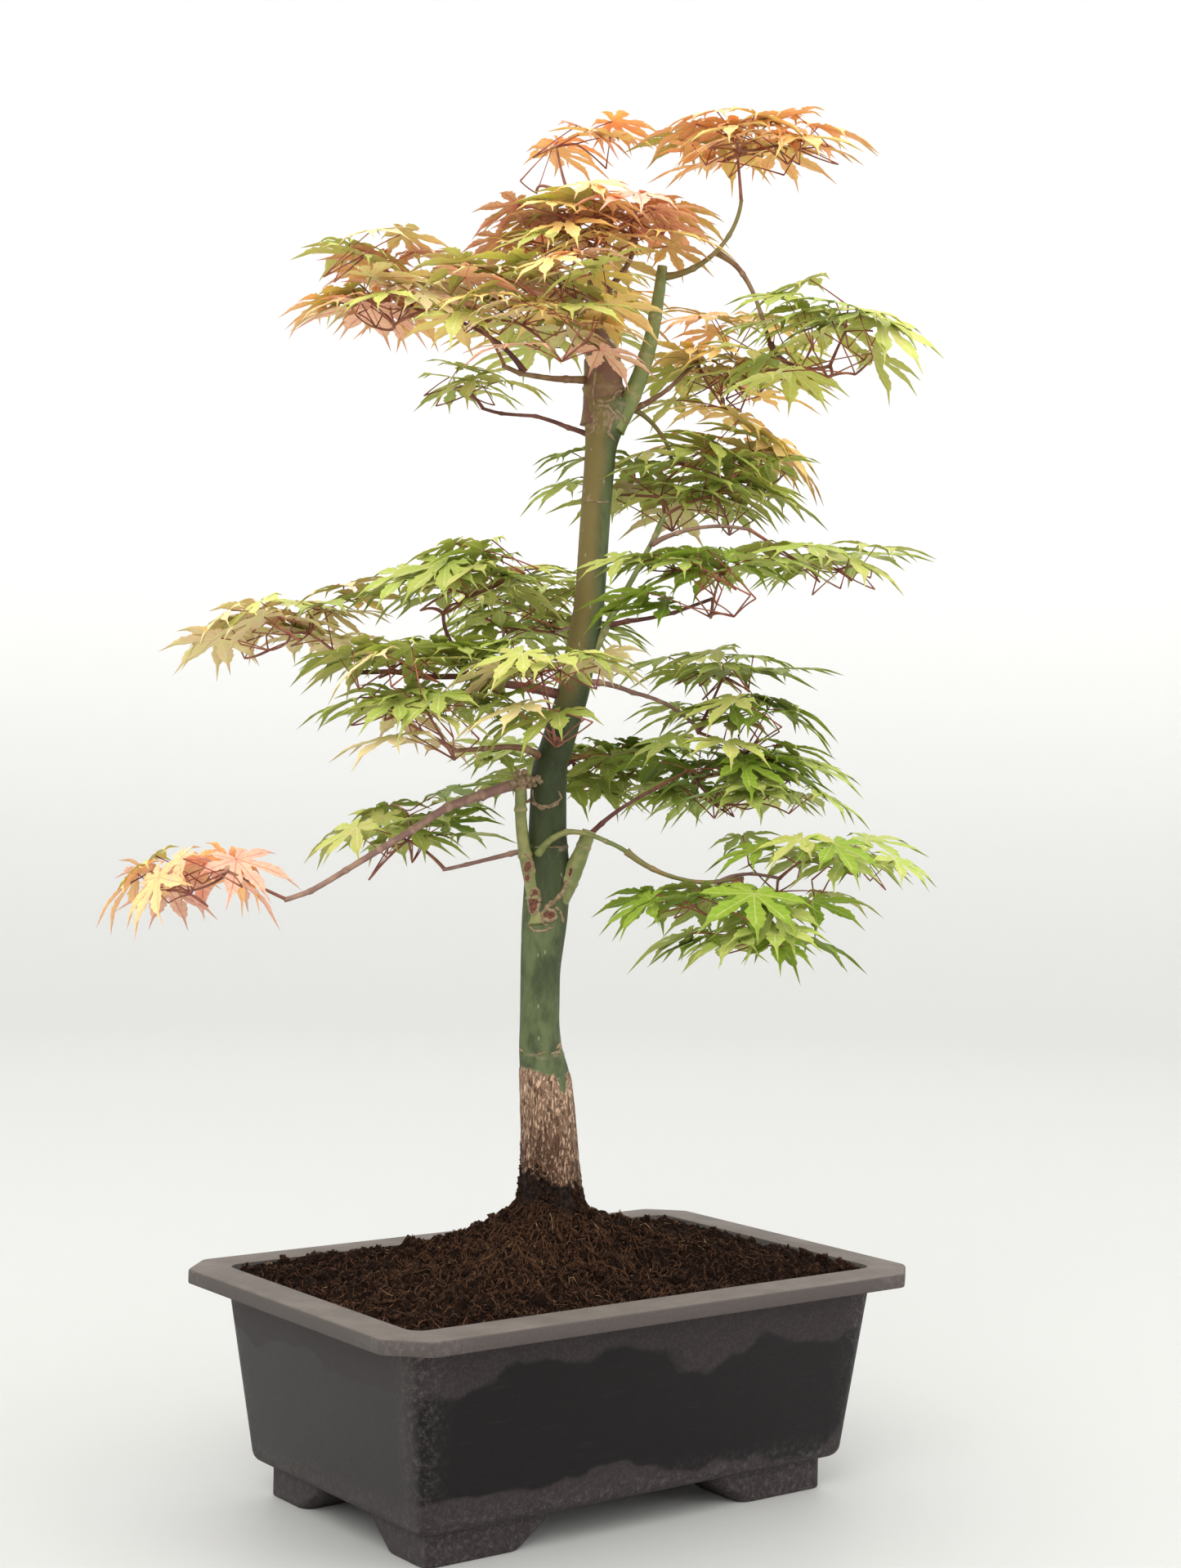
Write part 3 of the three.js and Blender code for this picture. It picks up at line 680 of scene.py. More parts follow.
@dataclass(frozen=True)
class TrunkBark(Finish):
    """Smooth green maple bark with pale breathing pores over rough, corky brown bark at the foot.

    Attributes:
        green: The smooth bark.
        shade: Its darker patches.
        deep: The darkest green, between the second ring scar and the bend, where the shadow of the leaves is
            painted.
        olive: The brown side of the upper trunk.
        grain: The smooth bark's pale grain.
        pore: Its breathing pores.
        ridge: The tops of the rough bark's ridges.
        fibre: The fine cracks in them.
        groove: The wider cracks between them.
        plate: The duller patches of rough bark.
        damp: The rough bark near the compost.
        callus: Scar rings and lips.
        crumb: Compost stuck to the foot.
        hollow: The gaps in it.
    """

    green: str = "#616c46"
    shade: str = "#3f482d"
    deep: str = "#2b331a"
    olive: str = "#76673a"
    grain: str = "#7c8463"
    pore: str = "#a3a887"
    ridge: str = "#dab698"
    fibre: str = "#6c4630"
    groove: str = "#4c3325"
    plate: str = "#86664c"
    damp: str = "#5f402c"
    callus: str = "#a8917a"
    crumb: str = "#3a271c"
    hollow: str = "#150d09"

    def dress(self, add: Add, spot: Socket) -> dict[str, Socket]:
        """Lay the zones over each other by the attributes that the mesh carries.

        Args:
            add: Adds a node to the material.
            spot: The place on the surface in metres.

        Returns:
            What drives the shader.
        """
        level = add("SeparateXYZ", [spot], "Z")
        zones = ("bark", "crack", "scar", "soil", "brown")
        bark, crack, scar, soil, brown = (add("Attribute", output="Fac", attribute_name=name) for name in zones)
        tall = add("Mapping", {"Vector": spot, "Scale": (1.0, 1.0, 0.4)})
        mottle = add("TexNoise", {"Vector": tall, "Scale": per(7), "Detail": 3.0, "Roughness": 0.6})
        grain = add("TexNoise", {"Vector": tall, "Scale": per(1.3), "Detail": 5.0, "Roughness": 0.6})
        # pores are pale upright dashes about 1 mm long, some 5 mm apart
        pores = add("TexVoronoi", {"Vector": tall, "Scale": 210.0})
        dots = add("MapRange", [pores, 0.07, 0.12, 1.0, 0.0], **SOFT)
        # painted shadow of the leaves: the green deepens from one height in metres and clears again from the
        # next
        dark = add("MapRange", [level, 0.274, 0.300, 0.0, 0.75], **SOFT)
        clear = add("MapRange", [level, 0.355, 0.46, 0.0, 0.7], **SOFT)
        smooth_bark = colour(self.shade)
        for share, coat in (
            (add("MapRange", [mottle, 0.32, 0.68], **SOFT), self.green),
            # the painted shadow of the leaves on the trunk
            (add("Math", [dark, clear], operation="SUBTRACT"), self.deep),
            (brown, self.olive),
            (add("MapRange", [grain, 0.58, 0.8, 0.0, 0.35], **SOFT), self.grain),
            (add("Math", [dots, 0.5], operation="MULTIPLY"), self.pore),
        ):
            smooth_bark = add("Mix", {0: share, 6: smooth_bark, 7: colour(coat)}, **COLOURS)
        # fine upright cracks about 1 mm apart, each some 3 mm long
        corky = add("Mapping", {"Vector": spot, "Scale": (1.0, 1.0, 0.28)})
        threads = {"Vector": corky, "Scale": per(0.95), "Detail": 6.0, "Roughness": 0.65, "Distortion": 0.6}
        fibre = add("MapRange", [add("TexNoise", threads), 0.56, 0.44], **SOFT)
        low = add("MapRange", [level, 0.200, 0.152, 0.0, 0.85], **SOFT)
        damp = add("Math", [fibre, 0.45], operation="ADD")
        rough_bark = colour(self.ridge)
        for share, coat in (
            (add("Math", [fibre, 0.72], operation="MULTIPLY"), self.fibre),
            (crack, self.groove),
            (add("MapRange", [mottle, 0.45, 0.75, 0.0, 0.5], **SOFT), self.plate),
            (add("Math", [low, damp], operation="MULTIPLY"), self.damp),
        ):
            rough_bark = add("Mix", {0: share, 6: rough_bark, 7: colour(coat)}, **COLOURS)
        lumps = add("TexNoise", {"Vector": spot, "Scale": per(2.2), "Detail": 4.0, "Roughness": 0.6})
        lumps = add("MapRange", [lumps, 0.42, 0.6], **SOFT)
        stuck = add("Mix", {0: lumps, 6: colour(self.hollow), 7: colour(self.crumb)}, **COLOURS)
        base = smooth_bark
        corked = add("Math", [bark, crack], operation="MAXIMUM")
        for share, coat in ((corked, rough_bark), (scar, colour(self.callus)), (soil, stuck)):
            base = add("Mix", {0: share, 6: base, 7: coat}, **COLOURS)
        cut = add("Math", [fibre, bark], operation="MULTIPLY")
        height = add("Math", [grain, cut], operation="SUBTRACT")
        depth = add("Math", [bark, 0.15], operation="ADD")
        height = add("Math", [height, depth], operation="MULTIPLY")
        height = add("Math", [dots, 0.12, height], operation="MULTIPLY_ADD")
        return {
            "Base Color": base,
            "Roughness": add("Math", [soil, 0.36, self.roughness], operation="MULTIPLY_ADD"),
            "Normal": add("Bump", {"Height": height, "Distance": 0.5 * MM}),
        }


@dataclass(frozen=True)
class BoughBark(Finish):
    """Thin young bark: smooth with fine lengthwise grain, patched, with rings at its joints.

    Attributes:
        main: Its main colour.
        patch: The colour of its patches.
        ring: The colour of the joints and scars.
    """

    main: str
    patch: str
    ring: str

    def dress(self, add: Add, spot: Socket) -> dict[str, Socket]:
        """Patches some 9 mm long, pale grain, and rings where the mesh marks them.

        Args:
            add: Adds a node to the material.
            spot: The place on the surface in metres.

        Returns:
            What drives the shader.
        """
        patches = add("TexNoise", {"Vector": spot, "Scale": per(9), "Detail": 3.0, "Roughness": 0.6})
        grain = add("TexNoise", {"Vector": spot, "Scale": per(1.2), "Detail": 4.0, "Roughness": 0.6})
        marked = add("Attribute", output="Fac", attribute_name="scar")
        base = colour(self.main)
        for share, coat in (
            (add("MapRange", [patches, 0.42, 0.66], **SOFT), self.patch),
            (add("MapRange", [grain, 0.6, 0.78, 0.0, 0.35], **SOFT), self.ring),
            (add("Math", [marked, 0.75], operation="MULTIPLY"), self.ring),
        ):
            base = add("Mix", {0: share, 6: base, 7: colour(coat)}, **COLOURS)
        return {"Base Color": base, "Normal": add("Bump", {"Height": grain, "Distance": 0.25 * MM})}


@dataclass(frozen=True)
class LeafBlade(Finish):
    """A thin maple leaf: satin, with a rib along each lobe and mottled between the veins.

    Attributes:
        base: The blade's colour.
        warm: What it turns to in its mottles and towards its tips.
        rib: The colour of its ribs.
        turned: How much of it has turned, from 0 to 1.
    """

    base: str
    warm: str
    rib: str
    turned: float

    def dress(self, add: Add, spot: Socket) -> dict[str, Socket]:
        """Ribs and side veins from the leaf's own attribute, mottles from its place.

        Args:
            add: Adds a node to the material.
            spot: The place on the surface in metres.

        Returns:
            What drives the shader.
        """
        lobe = add("Attribute", output="Vector", attribute_name="lobe")
        across, along, tone = add("SeparateXYZ", [lobe]).node.outputs
        mottle = add("TexNoise", {"Vector": spot, "Scale": per(11), "Detail": 3.0, "Roughness": 0.6})
        fine = add("TexNoise", {"Vector": spot, "Scale": per(2.5), "Detail": 3.0, "Roughness": 0.6})
        mottle = add("MapRange", [mottle, 0.38, 0.64, 0.0, self.turned], **SOFT)
        tip = add("MapRange", [along, 0.45, 1.0, 0.0, 0.8 * self.turned], **SOFT)
        turned = add("Math", [mottle, tip], operation="MAXIMUM")
        rib = add("MapRange", [across, 0.05, 0.14, 0.7, 0.0], **SOFT)
        # side veins leave the rib about 3 mm apart and slant towards the tip
        back = add("Math", [across, -0.8], operation="MULTIPLY")
        slant = add("Math", [along, 9.0, back], operation="MULTIPLY_ADD")
        vein = add("Math", [add("Math", [slant], operation="FRACT"), 0.5], operation="SUBTRACT")
        vein = add("MapRange", [add("Math", [vein], operation="ABSOLUTE"), 0.03, 0.10, 0.3, 0.0], **SOFT)
        lines = add("Math", [rib, vein], operation="MAXIMUM")
        base = colour(self.base)
        for share, coat in ((turned, self.warm), (lines, self.rib)):
            base = add("Mix", {0: share, 6: base, 7: colour(coat)}, **COLOURS)
        shade = add("Math", [tone, 0.3, 0.88], operation="MULTIPLY_ADD")
        shade = add("Math", [fine, 0.12, shade], operation="MULTIPLY_ADD")
        height = add("Math", [1.0, lines], operation="SUBTRACT")
        return {
            "Base Color": add("HueSaturation", {"Color": base, "Value": shade}),
            "Normal": add("Bump", {"Height": height, "Distance": 0.12 * MM}),
        }


@dataclass(frozen=True)
class Stalk(Finish):
    """A young stalk or twig: smooth and slightly shining, in two near tones.

    Attributes:
        main: Its main colour.
        other: Its second tone.
    """

    main: str
    other: str

    def dress(self, add: Add, spot: Socket) -> dict[str, Socket]:
        """Tones that change every 12 mm or so.

        Args:
            add: Adds a node to the material.
            spot: The place on the surface in metres.

        Returns:
            What drives the shader.
        """
        tones = add("TexNoise", {"Vector": spot, "Scale": per(12), "Detail": 3.0, "Roughness": 0.6})
        tones = add("MapRange", [tones, 0.4, 0.6], **SOFT)
        skin = add("TexNoise", {"Vector": spot, "Scale": per(0.8), "Detail": 3.0, "Roughness": 0.6})
        return {
            "Base Color": add("Mix", {0: tones, 6: colour(self.main), 7: colour(self.other)}, **COLOURS),
            "Normal": add("Bump", {"Height": skin, "Distance": 0.08 * MM}),
        }


@dataclass(frozen=True)
class StageFloor(Finish):
    """Plain pale floor that turns into a paler wall.

    Attributes:
        tone: The floor.
        wall: The wall, from 0.9 m up.
    """

    tone: str = "#cbcbc8"
    wall: str = "#eeeeed"

    def dress(self, add: Add, spot: Socket) -> dict[str, Socket]:
        """One pale colour that grows paler with height.

        Args:
            add: Adds a node to the material.
            spot: The place on the surface in metres.

        Returns:
            What drives the shader.
        """
        height = add("SeparateXYZ", [spot], "Z")
        risen = add("MapRange", [height, 0.0, 0.9], **SOFT)
        return {"Base Color": add("Mix", {0: risen, 6: colour(self.tone), 7: colour(self.wall)}, **COLOURS)}


class Tint(Enum):
    """The leaves' tints at the start of the turn of the season: thin blades with a satin skin."""

    DEEP = LeafBlade("leaf_deep_green", 0.55, 0.2, "#7b962b", "#97a03c", "#aeb66a", 0.35)
    GREEN = LeafBlade("leaf_green", 0.55, 0.2, "#9eae4c", "#b8b266", "#c8cc90", 0.45)
    LIME = LeafBlade("leaf_yellow_green", 0.55, 0.2, "#c0c864", "#cebd78", "#dcd8a0", 0.5)
    TAN = LeafBlade("leaf_tan_green", 0.55, 0.2, "#dccf8c", "#e4c09c", "#eadfb4", 0.7)
    GOLD = LeafBlade("leaf_gold", 0.55, 0.2, "#f6da80", "#f3c48e", "#f6dfae", 0.65)
    ORANGE = LeafBlade("leaf_orange", 0.55, 0.2, "#fbce8a", "#f7b894", "#ea9c7c", 0.6)
    SALMON = LeafBlade("leaf_salmon", 0.55, 0.2, "#f4c4a4", "#eeae9a", "#cc6c62", 0.75)


class Bark(Enum):
    """The kinds of young bark on leaders and boughs."""

    GREEN = BoughBark("bark_young_green", 0.5, 0.4, "#727b45", "#918f58", "#a9956f")
    UMBER = BoughBark("bark_purple_brown", 0.55, 0.4, "#755040", "#84703f", "#9a7f62")
    OLIVE = BoughBark("bark_olive", 0.55, 0.4, "#77703f", "#8a7448", "#a08a6a")
    BROWN = BoughBark("bark_brown", 0.6, 0.4, "#74513a", "#8a7050", "#a28468")
    MAUVE = BoughBark("bark_mauve", 0.6, 0.4, "#84635a", "#a0806c", "#b4967c")
    DARK = BoughBark("bark_dark_red", 0.55, 0.4, "#5e3430", "#774a40", "#8a5c4c")


# moulded plastic: dull and nearly black, with dust lying in its fine texture
PLASTIC = Polypropylene("moulded_polypropylene", 0.6, 0.22, middle=(POT_MIDDLE[0], POT_MIDDLE[1]))
# moist compost and coir: quite matt, dark in the gaps, with rusty fibres and a few straws
COMPOST = Speckled("moist_compost", 0.95, 0.05, "#100a07", "#251811", "#3f2b21", 3.0, 0.9)
CRUMBS = Speckled("compost_crumbs", 0.95, 0.05, "#1d130e", "#3c2a20", "#5b4232", 2.5, 0.3)
COIR = (
    Speckled("dark_coir", 0.9, 0.1, "#1c120d", "#302018", "#453022", 2.0, 0.2),
    Speckled("red_coir", 0.9, 0.1, "#432c20", "#60432f", "#7c5b40", 2.0, 0.2),
    Speckled("pale_straw", 0.85, 0.25, "#8a6b48", "#b39468", "#cbb38c", 2.0, 0.1),
)
# corky and dry: dull, with a fine grain
CALLUS = Speckled("corky_callus", 0.85, 0.3, "#7d674e", "#a68f72", "#bfa98b", 2.2, 0.5)
HEARTWOOD = Speckled("dry_cut_wood", 0.85, 0.3, "#4b2c22", "#7c5242", "#96705c", 2.0, 0.4)
# the thin skin of young wood, which shines a little
TWIG_SKIN = Stalk("twig_red_brown", 0.5, 0.4, "#7c463a", "#96624c")
LEAF_STALK = Stalk("leaf_stalk_red", 0.45, 0.4, "#8e4138", "#a86248")


# Pot and compost


@dataclass
class TrainingPot:
    """The moulded pot: a tapered body, a flat rim with cut corners, four feet. Metres.

    Attributes:
        rim: The rim band's length, width and depth.
        top: The pot's height.
        base: The body's length and width at its underside.
        neck: The body's length and width under the rim.
        foot_top: How high the feet hold the body.
        foot_low: A foot's length and width on the ground.
        foot_high: The same where it meets the body.
        foot_inset: How far the feet stand in from the underside's edges.
        foot_root: How high a foot's upright part under the body is.
        wall: How thick the walls are.
        floor: How thick the floor is.
        rim_corner: How much is cut off the rim's corners.
        body_corner: The radius of the body's upright corners.
        body_edge: The radius of its lower edge.
        inner_corner: The radius of the hollow's upright corners.
        inner_edge: The radius of its lower edge.
    """

    rim: Triple = (0.305, 0.2045, 0.0071)
    top: float = 0.1088
    base: Pair = (0.248, 0.153)
    neck: Pair = (0.270, 0.1695)
    foot_top: float = 0.0161
    foot_low: Pair = (0.052, 0.033)
    foot_high: Pair = (0.068, 0.049)
    foot_inset: float = 0.008
    foot_root: float = 0.0041
    wall: float = 0.0025
    floor: float = 0.003
    rim_corner: float = 0.0166
    body_corner: float = 0.010
    body_edge: float = 0.005
    inner_corner: float = 0.0075
    inner_edge: float = 0.004

    def half(self, level: float) -> Pair:
        """Half the body's length and width at a height."""
        share = (level - self.foot_top) / (self.top - self.rim[2] - self.foot_top)
        return tuple(between(sides, share) / 2 for sides in zip(self.base, self.neck))

    def tapered(self, name: str, low: float, high: float, inset: float, corner: float, edge: float) -> Piece:
        """A box that follows the body's slope, with round upright corners and a round lower edge.

        Args:
            name: Its name.
            low: The height of its underside.
            high: The height of its top.
            inset: How far it keeps inside the body's own slope.
            corner: The radius of its upright corners.
            edge: The radius of its lower edge.

        Returns:
            The box.
        """
        long_low, wide_low = (h - inset for h in self.half(low))
        long_high, wide_high = (h - inset for h in self.half(high))
        piece = block(name, (-long_low, -wide_low, low), (long_low, wide_low, high))
        choose(piece, Part.FACE, lambda f: f.normal.z > 0.5)
        flare = (long_high / long_low, wide_high / wide_low, 1)
        bpy.ops.transform.resize(value=flare, center_override=(0, 0, high))
        done()
        bevel(piece, upright, corner, 7)
        bevel(piece, level_at(low), edge, 4)
        return piece

    def band(self) -> Piece:
        """The rim band with its cut corners and soft edges.

        Returns:
            The band.
        """
        length, width, depth = self.rim
        piece = block("rim", (-length / 2, -width / 2, self.top - depth), (length / 2, width / 2, self.top))
        # cut the corners, soften the cuts, then the top edge more than the lower one
        bevel(piece, upright, self.rim_corner, 1)
        bevel(piece, upright, 0.0022, 3)
        bevel(piece, level_at(self.top), 0.0016, 3)
        bevel(piece, level_at(self.top - depth), 0.0007, 2)
        return piece

    def foot(self) -> Piece:
        """One foot at the far right corner: upright under the body, then cut in on its inner ends.

        Returns:
            The foot.
        """
        outer = [side / 2 - self.foot_inset for side in self.base]
        inner = [far - size for far, size in zip(outer, self.foot_high)]
        root = self.foot_top - self.foot_root
        piece = block("foot", (*inner, root), (*outer, self.foot_top + 0.002))
        choose(piece, Part.FACE, lambda f: f.normal.z < -0.5)
        bpy.ops.mesh.extrude_region_move(TRANSFORM_OT_translate={"value": (0, 0, -root)})
        shrink = [low / high for low, high in zip(self.foot_low, self.foot_high)]
        bpy.ops.transform.resize(value=(*shrink, 1), center_override=(*outer, 0))
        done()
        # round its upright edges, which climb more than 3 mm, and the edge that it stands on
        bevel(piece, lambda e: max(abs(v.co.z - e.verts[0].co.z) for v in e.verts) > 0.003, 0.006, 6)
        bevel(piece, level_at(0), 0.0012, 3)
        return piece

    def build(self) -> Piece:
        """Join body, rim and feet, hollow them, and soften the edges.

        Returns:
            The pot.
        """
        body = self.tapered("pot_shell", self.foot_top, self.top - 0.003, 0.0, self.body_corner, self.body_edge)
        # the one foot is mirrored to the other three corners
        tools = [self.band(), self.foot()]
        for across, along in ((-1, 1), (1, -1), (-1, -1)):
            copy = put("foot", tools[1].data.copy())
            copy.data.transform(Matrix.Diagonal((across, along, 1, 1)))
            if across * along < 0:
                copy.data.flip_normals()
            tools.append(copy)
        bottom, over = self.foot_top + self.floor, self.top + 0.004
        inside = self.tapered("inside", bottom, over, self.wall, self.inner_corner, self.inner_edge)
        for tool, action in [(t, "UNION") for t in tools] + [(inside, "DIFFERENCE")]:
            apply_modifier(body, "BOOLEAN", operation=action, object=tool, solver="EXACT")
        for tool in [*tools, inside]:
            bpy.data.objects.remove(tool)
        sharp = math.radians(50)
        apply_modifier(body, "BEVEL", width=0.0008, segments=2, limit_method="ANGLE", angle_limit=sharp)
        body.data.transform(Matrix.Translation(POT_MIDDLE))
        bpy.ops.object.shade_smooth_by_angle(angle=math.radians(32))
        body.data.materials.clear()
        body.data.materials.append(PLASTIC.build())
        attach(body, "root")
        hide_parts("pot")
        return body


@dataclass
class CompostHeap:
    """Compost heaped up to the trunk, with crumbs and coir fibres. Millimetres round the pot's middle.

    Attributes:
        pot: The pot that holds it.
        edge: Its height at the wall.
        heap: Its height at the trunk.
        spot: How far out the heap starts to fall.
        reach: How fast it falls, as a share of the way out.
        slope: How sharply it falls.
        gap: How far its edge keeps from the wall.
        corner: The radius of its corners.
        grid: How many squares its surface has along and across.
        crumbs: How many crumbs lie on it.
        stuck: How many crumbs stick to the trunk's foot.
        fibres: How many coir fibres there are.
        straws: How many pale straws.
    """

    pot: TrainingPot
    edge: float = 107.2
    heap: float = 133.0
    spot: float = 20.0
    reach: float = 0.75
    slope: float = 1.35
    gap: float = 0.4
    corner: float = 7.0
    grid: tuple[int, int] = (220, 140)
    crumbs: int = 7000
    stuck: int = 3200
    fibres: int = 5600
    straws: int = 60

    def limits(self) -> Pair:
        """Half the length and width that the compost fills at its edge."""
        return tuple((half - self.pot.wall) / MM - self.gap for half in self.pot.half(self.edge * MM))

    def level(self, x: Array, y: Array) -> Array:
        """The compost's smooth height at each place.

        Args:
            x: How far right each place is, in millimetres.
            y: How far back each place is.

        Returns:
            The heights.
        """
        half_long, half_wide = self.limits()
        angle = np.arctan2(y, x)
        to_end = half_long / np.maximum(np.abs(np.cos(angle)), 1e-6)
        wall = np.minimum(to_end, half_wide / np.maximum(np.abs(np.sin(angle)), 1e-6))
        share = np.clip((np.hypot(x, y) - self.spot) / (wall - self.spot), 0, 1)
        rise = np.exp(-2 * (share / self.reach) ** self.slope)
        foot = math.exp(-2 * (1 / self.reach) ** self.slope)
        waves = np.sin(5 * angle + 9 * share) * np.sin(3 * angle - 14 * share)
        ripple = 1.6 * waves * np.sin(np.pi * share)
        return self.edge + (self.heap - self.edge) * (rise - foot) / (1 - foot) + ripple

    def clods(self, x: Array, y: Array) -> Array:
        """Round clods with sharp crevices between them, and the fillet up to the trunk's foot.

        Args:
            x: How far right each place is, in millimetres.
            y: How far back each place is.

        Returns:
            What they add to the height.
        """
        flat = np.stack([x, y, np.zeros_like(x)], axis=-1)
        # clods some 8.5 mm and 2.9 mm wide, and a fillet that is highest on the trunk's left
        large = np.abs(2 * rough(flat / 8.5, 2, 5) - 1) ** 0.8
        small = np.abs(2 * noise(flat / 2.9, 9) - 1) ** 0.8
        foot = on_tree([[-2, 0, 0]])[0] / MM - POT_MIDDLE / MM
        gap = np.hypot(x - foot[0], y - foot[1])
        turned = np.arctan2(y - foot[1], x - foot[0]) - TREE_TURN
        fillet = (6 - 5 * np.cos(turned)) * np.exp(-np.maximum(gap - 15, 0) / 4.5)
        hold = np.clip((np.minimum(*self.edge_gap(x, y)) - 1) / 8, 0, 1)
        return 6.5 * large + 2.8 * small - 3.0 + fillet - (1 - hold) * 2.0

    def edge_gap(self, x: Array, y: Array) -> tuple[Array, Array]:
        """How far each place is from the end walls and from the side walls."""
        half_long, half_wide = self.limits()
        return half_long - np.abs(x), half_wide - np.abs(y)

    def surface(self, x: Array, y: Array) -> Array:
        """The height of the surface, with its clods, at each place."""
        return self.level(x, y) + self.clods(x, y)

    def ground(self) -> Piece:
        """The compost's surface as a grid that is shaped, skirted and capped underneath.

        Returns:
            The surface.
        """
        half_long, half_wide = self.limits()
        bpy.ops.object.select_all(action="DESELECT")
        bpy.ops.mesh.primitive_grid_add(x_subdivisions=self.grid[0], y_subdivisions=self.grid[1], size=1)
        piece = bpy.context.object
        piece.name = "compost"
        flat = np.zeros(len(piece.data.vertices) * 3)
        piece.data.vertices.foreach_get("co", flat)
        flat = flat.reshape(-1, 3)
        x, y = flat[:, 0] * 2 * half_long, flat[:, 1] * 2 * half_wide
        straight_x, straight_y = half_long - self.corner, half_wide - self.corner
        past_x, past_y = np.abs(x) - straight_x, np.abs(y) - straight_y
        pull = np.hypot(np.maximum(past_x, 0), np.maximum(past_y, 0))
        in_corner = (past_x > 0) & (past_y > 0) & (pull > self.corner)
        pull = np.maximum(pull, 1e-6)
        x = np.where(in_corner, np.sign(x) * (straight_x + past_x * self.corner / pull), x)
        y = np.where(in_corner, np.sign(y) * (straight_y + past_y * self.corner / pull), y)
        placed = np.stack([x, y, self.surface(x, y)], axis=-1) * MM + POT_MIDDLE
        piece.data.vertices.foreach_set("co", placed.ravel())
        piece.data.update()
        choose(piece, Part.EDGE, lambda e: e.is_boundary)
        # a skirt goes down inside the pot to a flat edge, which is then capped
        bpy.ops.mesh.extrude_edges_move(TRANSFORM_OT_translate={"value": (0, 0, -0.02)})
        bpy.ops.transform.resize(value=(0.985, 0.985, 0), center_override=(*POT_MIDDLE[:2], 0.084))
        bpy.ops.mesh.edge_face_add()
        bpy.ops.mesh.select_all(action="SELECT")
        bpy.ops.mesh.normals_make_consistent(inside=False)
        done()
        bpy.ops.object.shade_smooth()
        piece.data.materials.append(COMPOST.build())
        return piece

    def scatter(self, draw: Draw, count: int) -> tuple[Array, Array]:
        """Places on the compost, with their heights, as x, y rows and z.

        Args:
            draw: The source of chance.
            count: How many places there are.

        Returns:
            The places and their heights.
        """
        half_long, half_wide = self.limits()
        spots = draw.uniform(-1, 1, (count, 2)) * (half_long - 2.5, half_wide - 2.5)
        return spots, self.surface(spots[:, 0], spots[:, 1])

    def crumb_piece(self) -> Piece:
        """Loose crumbs: squashed eight-faced lumps, half sunk in the surface and up the trunk's foot.

        Returns:
            The joined crumbs.
        """
        draw = np.random.default_rng(3)
        shape = np.array([[1, 0, 0], [0, 1, 0], [-1, 0, 0], [0, -1, 0], [0, 0, 1], [0, 0, -1]], float)
        faces = [[0, 1, 4], [1, 2, 4], [2, 3, 4], [3, 0, 4], [1, 0, 5], [2, 1, 5], [3, 2, 5], [0, 3, 5]]
        heap = Heap()
        spots, height = self.scatter(draw, self.crumbs)
        # some stick to the trunk, higher in places and fewer towards the top
        angle = draw.uniform(0, 2 * np.pi, self.stuck)
        climb = draw.uniform(0, 1, self.stuck) ** 1.4
        around = np.stack([np.cos(angle), np.sin(angle), np.zeros(self.stuck)], axis=-1)
        up = 131 + (21 - 5 * np.cos(angle) + 26 * (rough(3.5 * around, 2, 91) - 0.5)) * climb
        right, radius = Trunk().across(up)
        radius = radius + 0.2 + draw.uniform(0.2, 1.9, self.stuck) * (1 - climb)
        ring = np.stack([radius * np.cos(angle) + right, radius * np.sin(angle)], axis=-1)
        spots = np.concatenate([spots, ring @ TREE_SPIN[:2, :2].T])
        height = np.concatenate([height, up])
        size = np.exp(draw.normal(-0.05, 0.42, len(spots)))
        size[-self.stuck:] *= 0.9 - 0.35 * climb
        for (x, y), z, lump in zip(spots, height, np.clip(size, 0.4, 2.6)):
            body = shape * (lump * draw.uniform(0.6, 1.25, (6, 1))) * draw.uniform(0.7, 1.2, 3)
            body = body @ self.turn(draw)
            heap.add((body + (x, y, z + 0.15 * lump)) * MM + POT_MIDDLE, faces)
        return heap.piece("crumbs", CRUMBS.build(), turned=False)

    @staticmethod
    def turn(draw: Draw) -> Array:
        """A random turn as a matrix."""
        basis, _ = np.linalg.qr(draw.normal(size=(3, 3)))
        return basis

    def fibre_piece(
        self, name: str, finish: Finish, count: int, reach: Pair, thick: float, gather: float, seed: int
    ) -> Piece:
        """Curved coir fibres that lie along the surface.

        Args:
            name: The piece's name.
            finish: Its material.
            count: How many fibres.
            reach: Their shortest and longest length in millimetres.
            thick: Their radius in millimetres.
            gather: The share of them that lie on the front left of the heap.
            seed: The seed of their places.

        Returns:
            The joined piece.
        """
        draw = np.random.default_rng(seed)
        half_long, half_wide = self.limits()
        starts = draw.uniform(-1, 1, (count, 1, 2)) * (half_long - 2.5, half_wide - 2.5)
        gathered = np.array([-38, -22]) + draw.normal(0, 1, (count, 1, 2)) * (46, 30)
        starts = np.where(draw.uniform(size=(count, 1, 1)) < gather, gathered, starts)
        starts = np.clip(starts, (3 - half_long, 3 - half_wide), (half_long - 3, half_wide - 3))
        heading = draw.uniform(0, 2 * np.pi, (count, 1)) + draw.normal(0, 0.5, (count, 4)).cumsum(axis=1)
        length = reach[0] + (reach[1] - reach[0]) * draw.uniform(size=(count, 1, 1)) ** 1.8
        steps = np.stack([np.cos(heading), np.sin(heading)], axis=-1) * length / 4
        paths = np.concatenate([starts, starts + steps.cumsum(axis=1)], axis=1)
        paths = np.clip(paths, (-half_long + 1, -half_wide + 1), (half_long - 1, half_wide - 1))
        height = self.surface(paths[..., 0], paths[..., 1])
        height = height + np.abs(draw.normal(0.2, 0.5, height.shape)) + thick * 0.5
        radii = np.linspace(1, 0.5, 5) * thick * draw.uniform(0.7, 1.4, (count, 1))
        heap = Heap()
        faces = tube_faces(3, 5)
        for path, up, radius in zip(paths, height, radii):
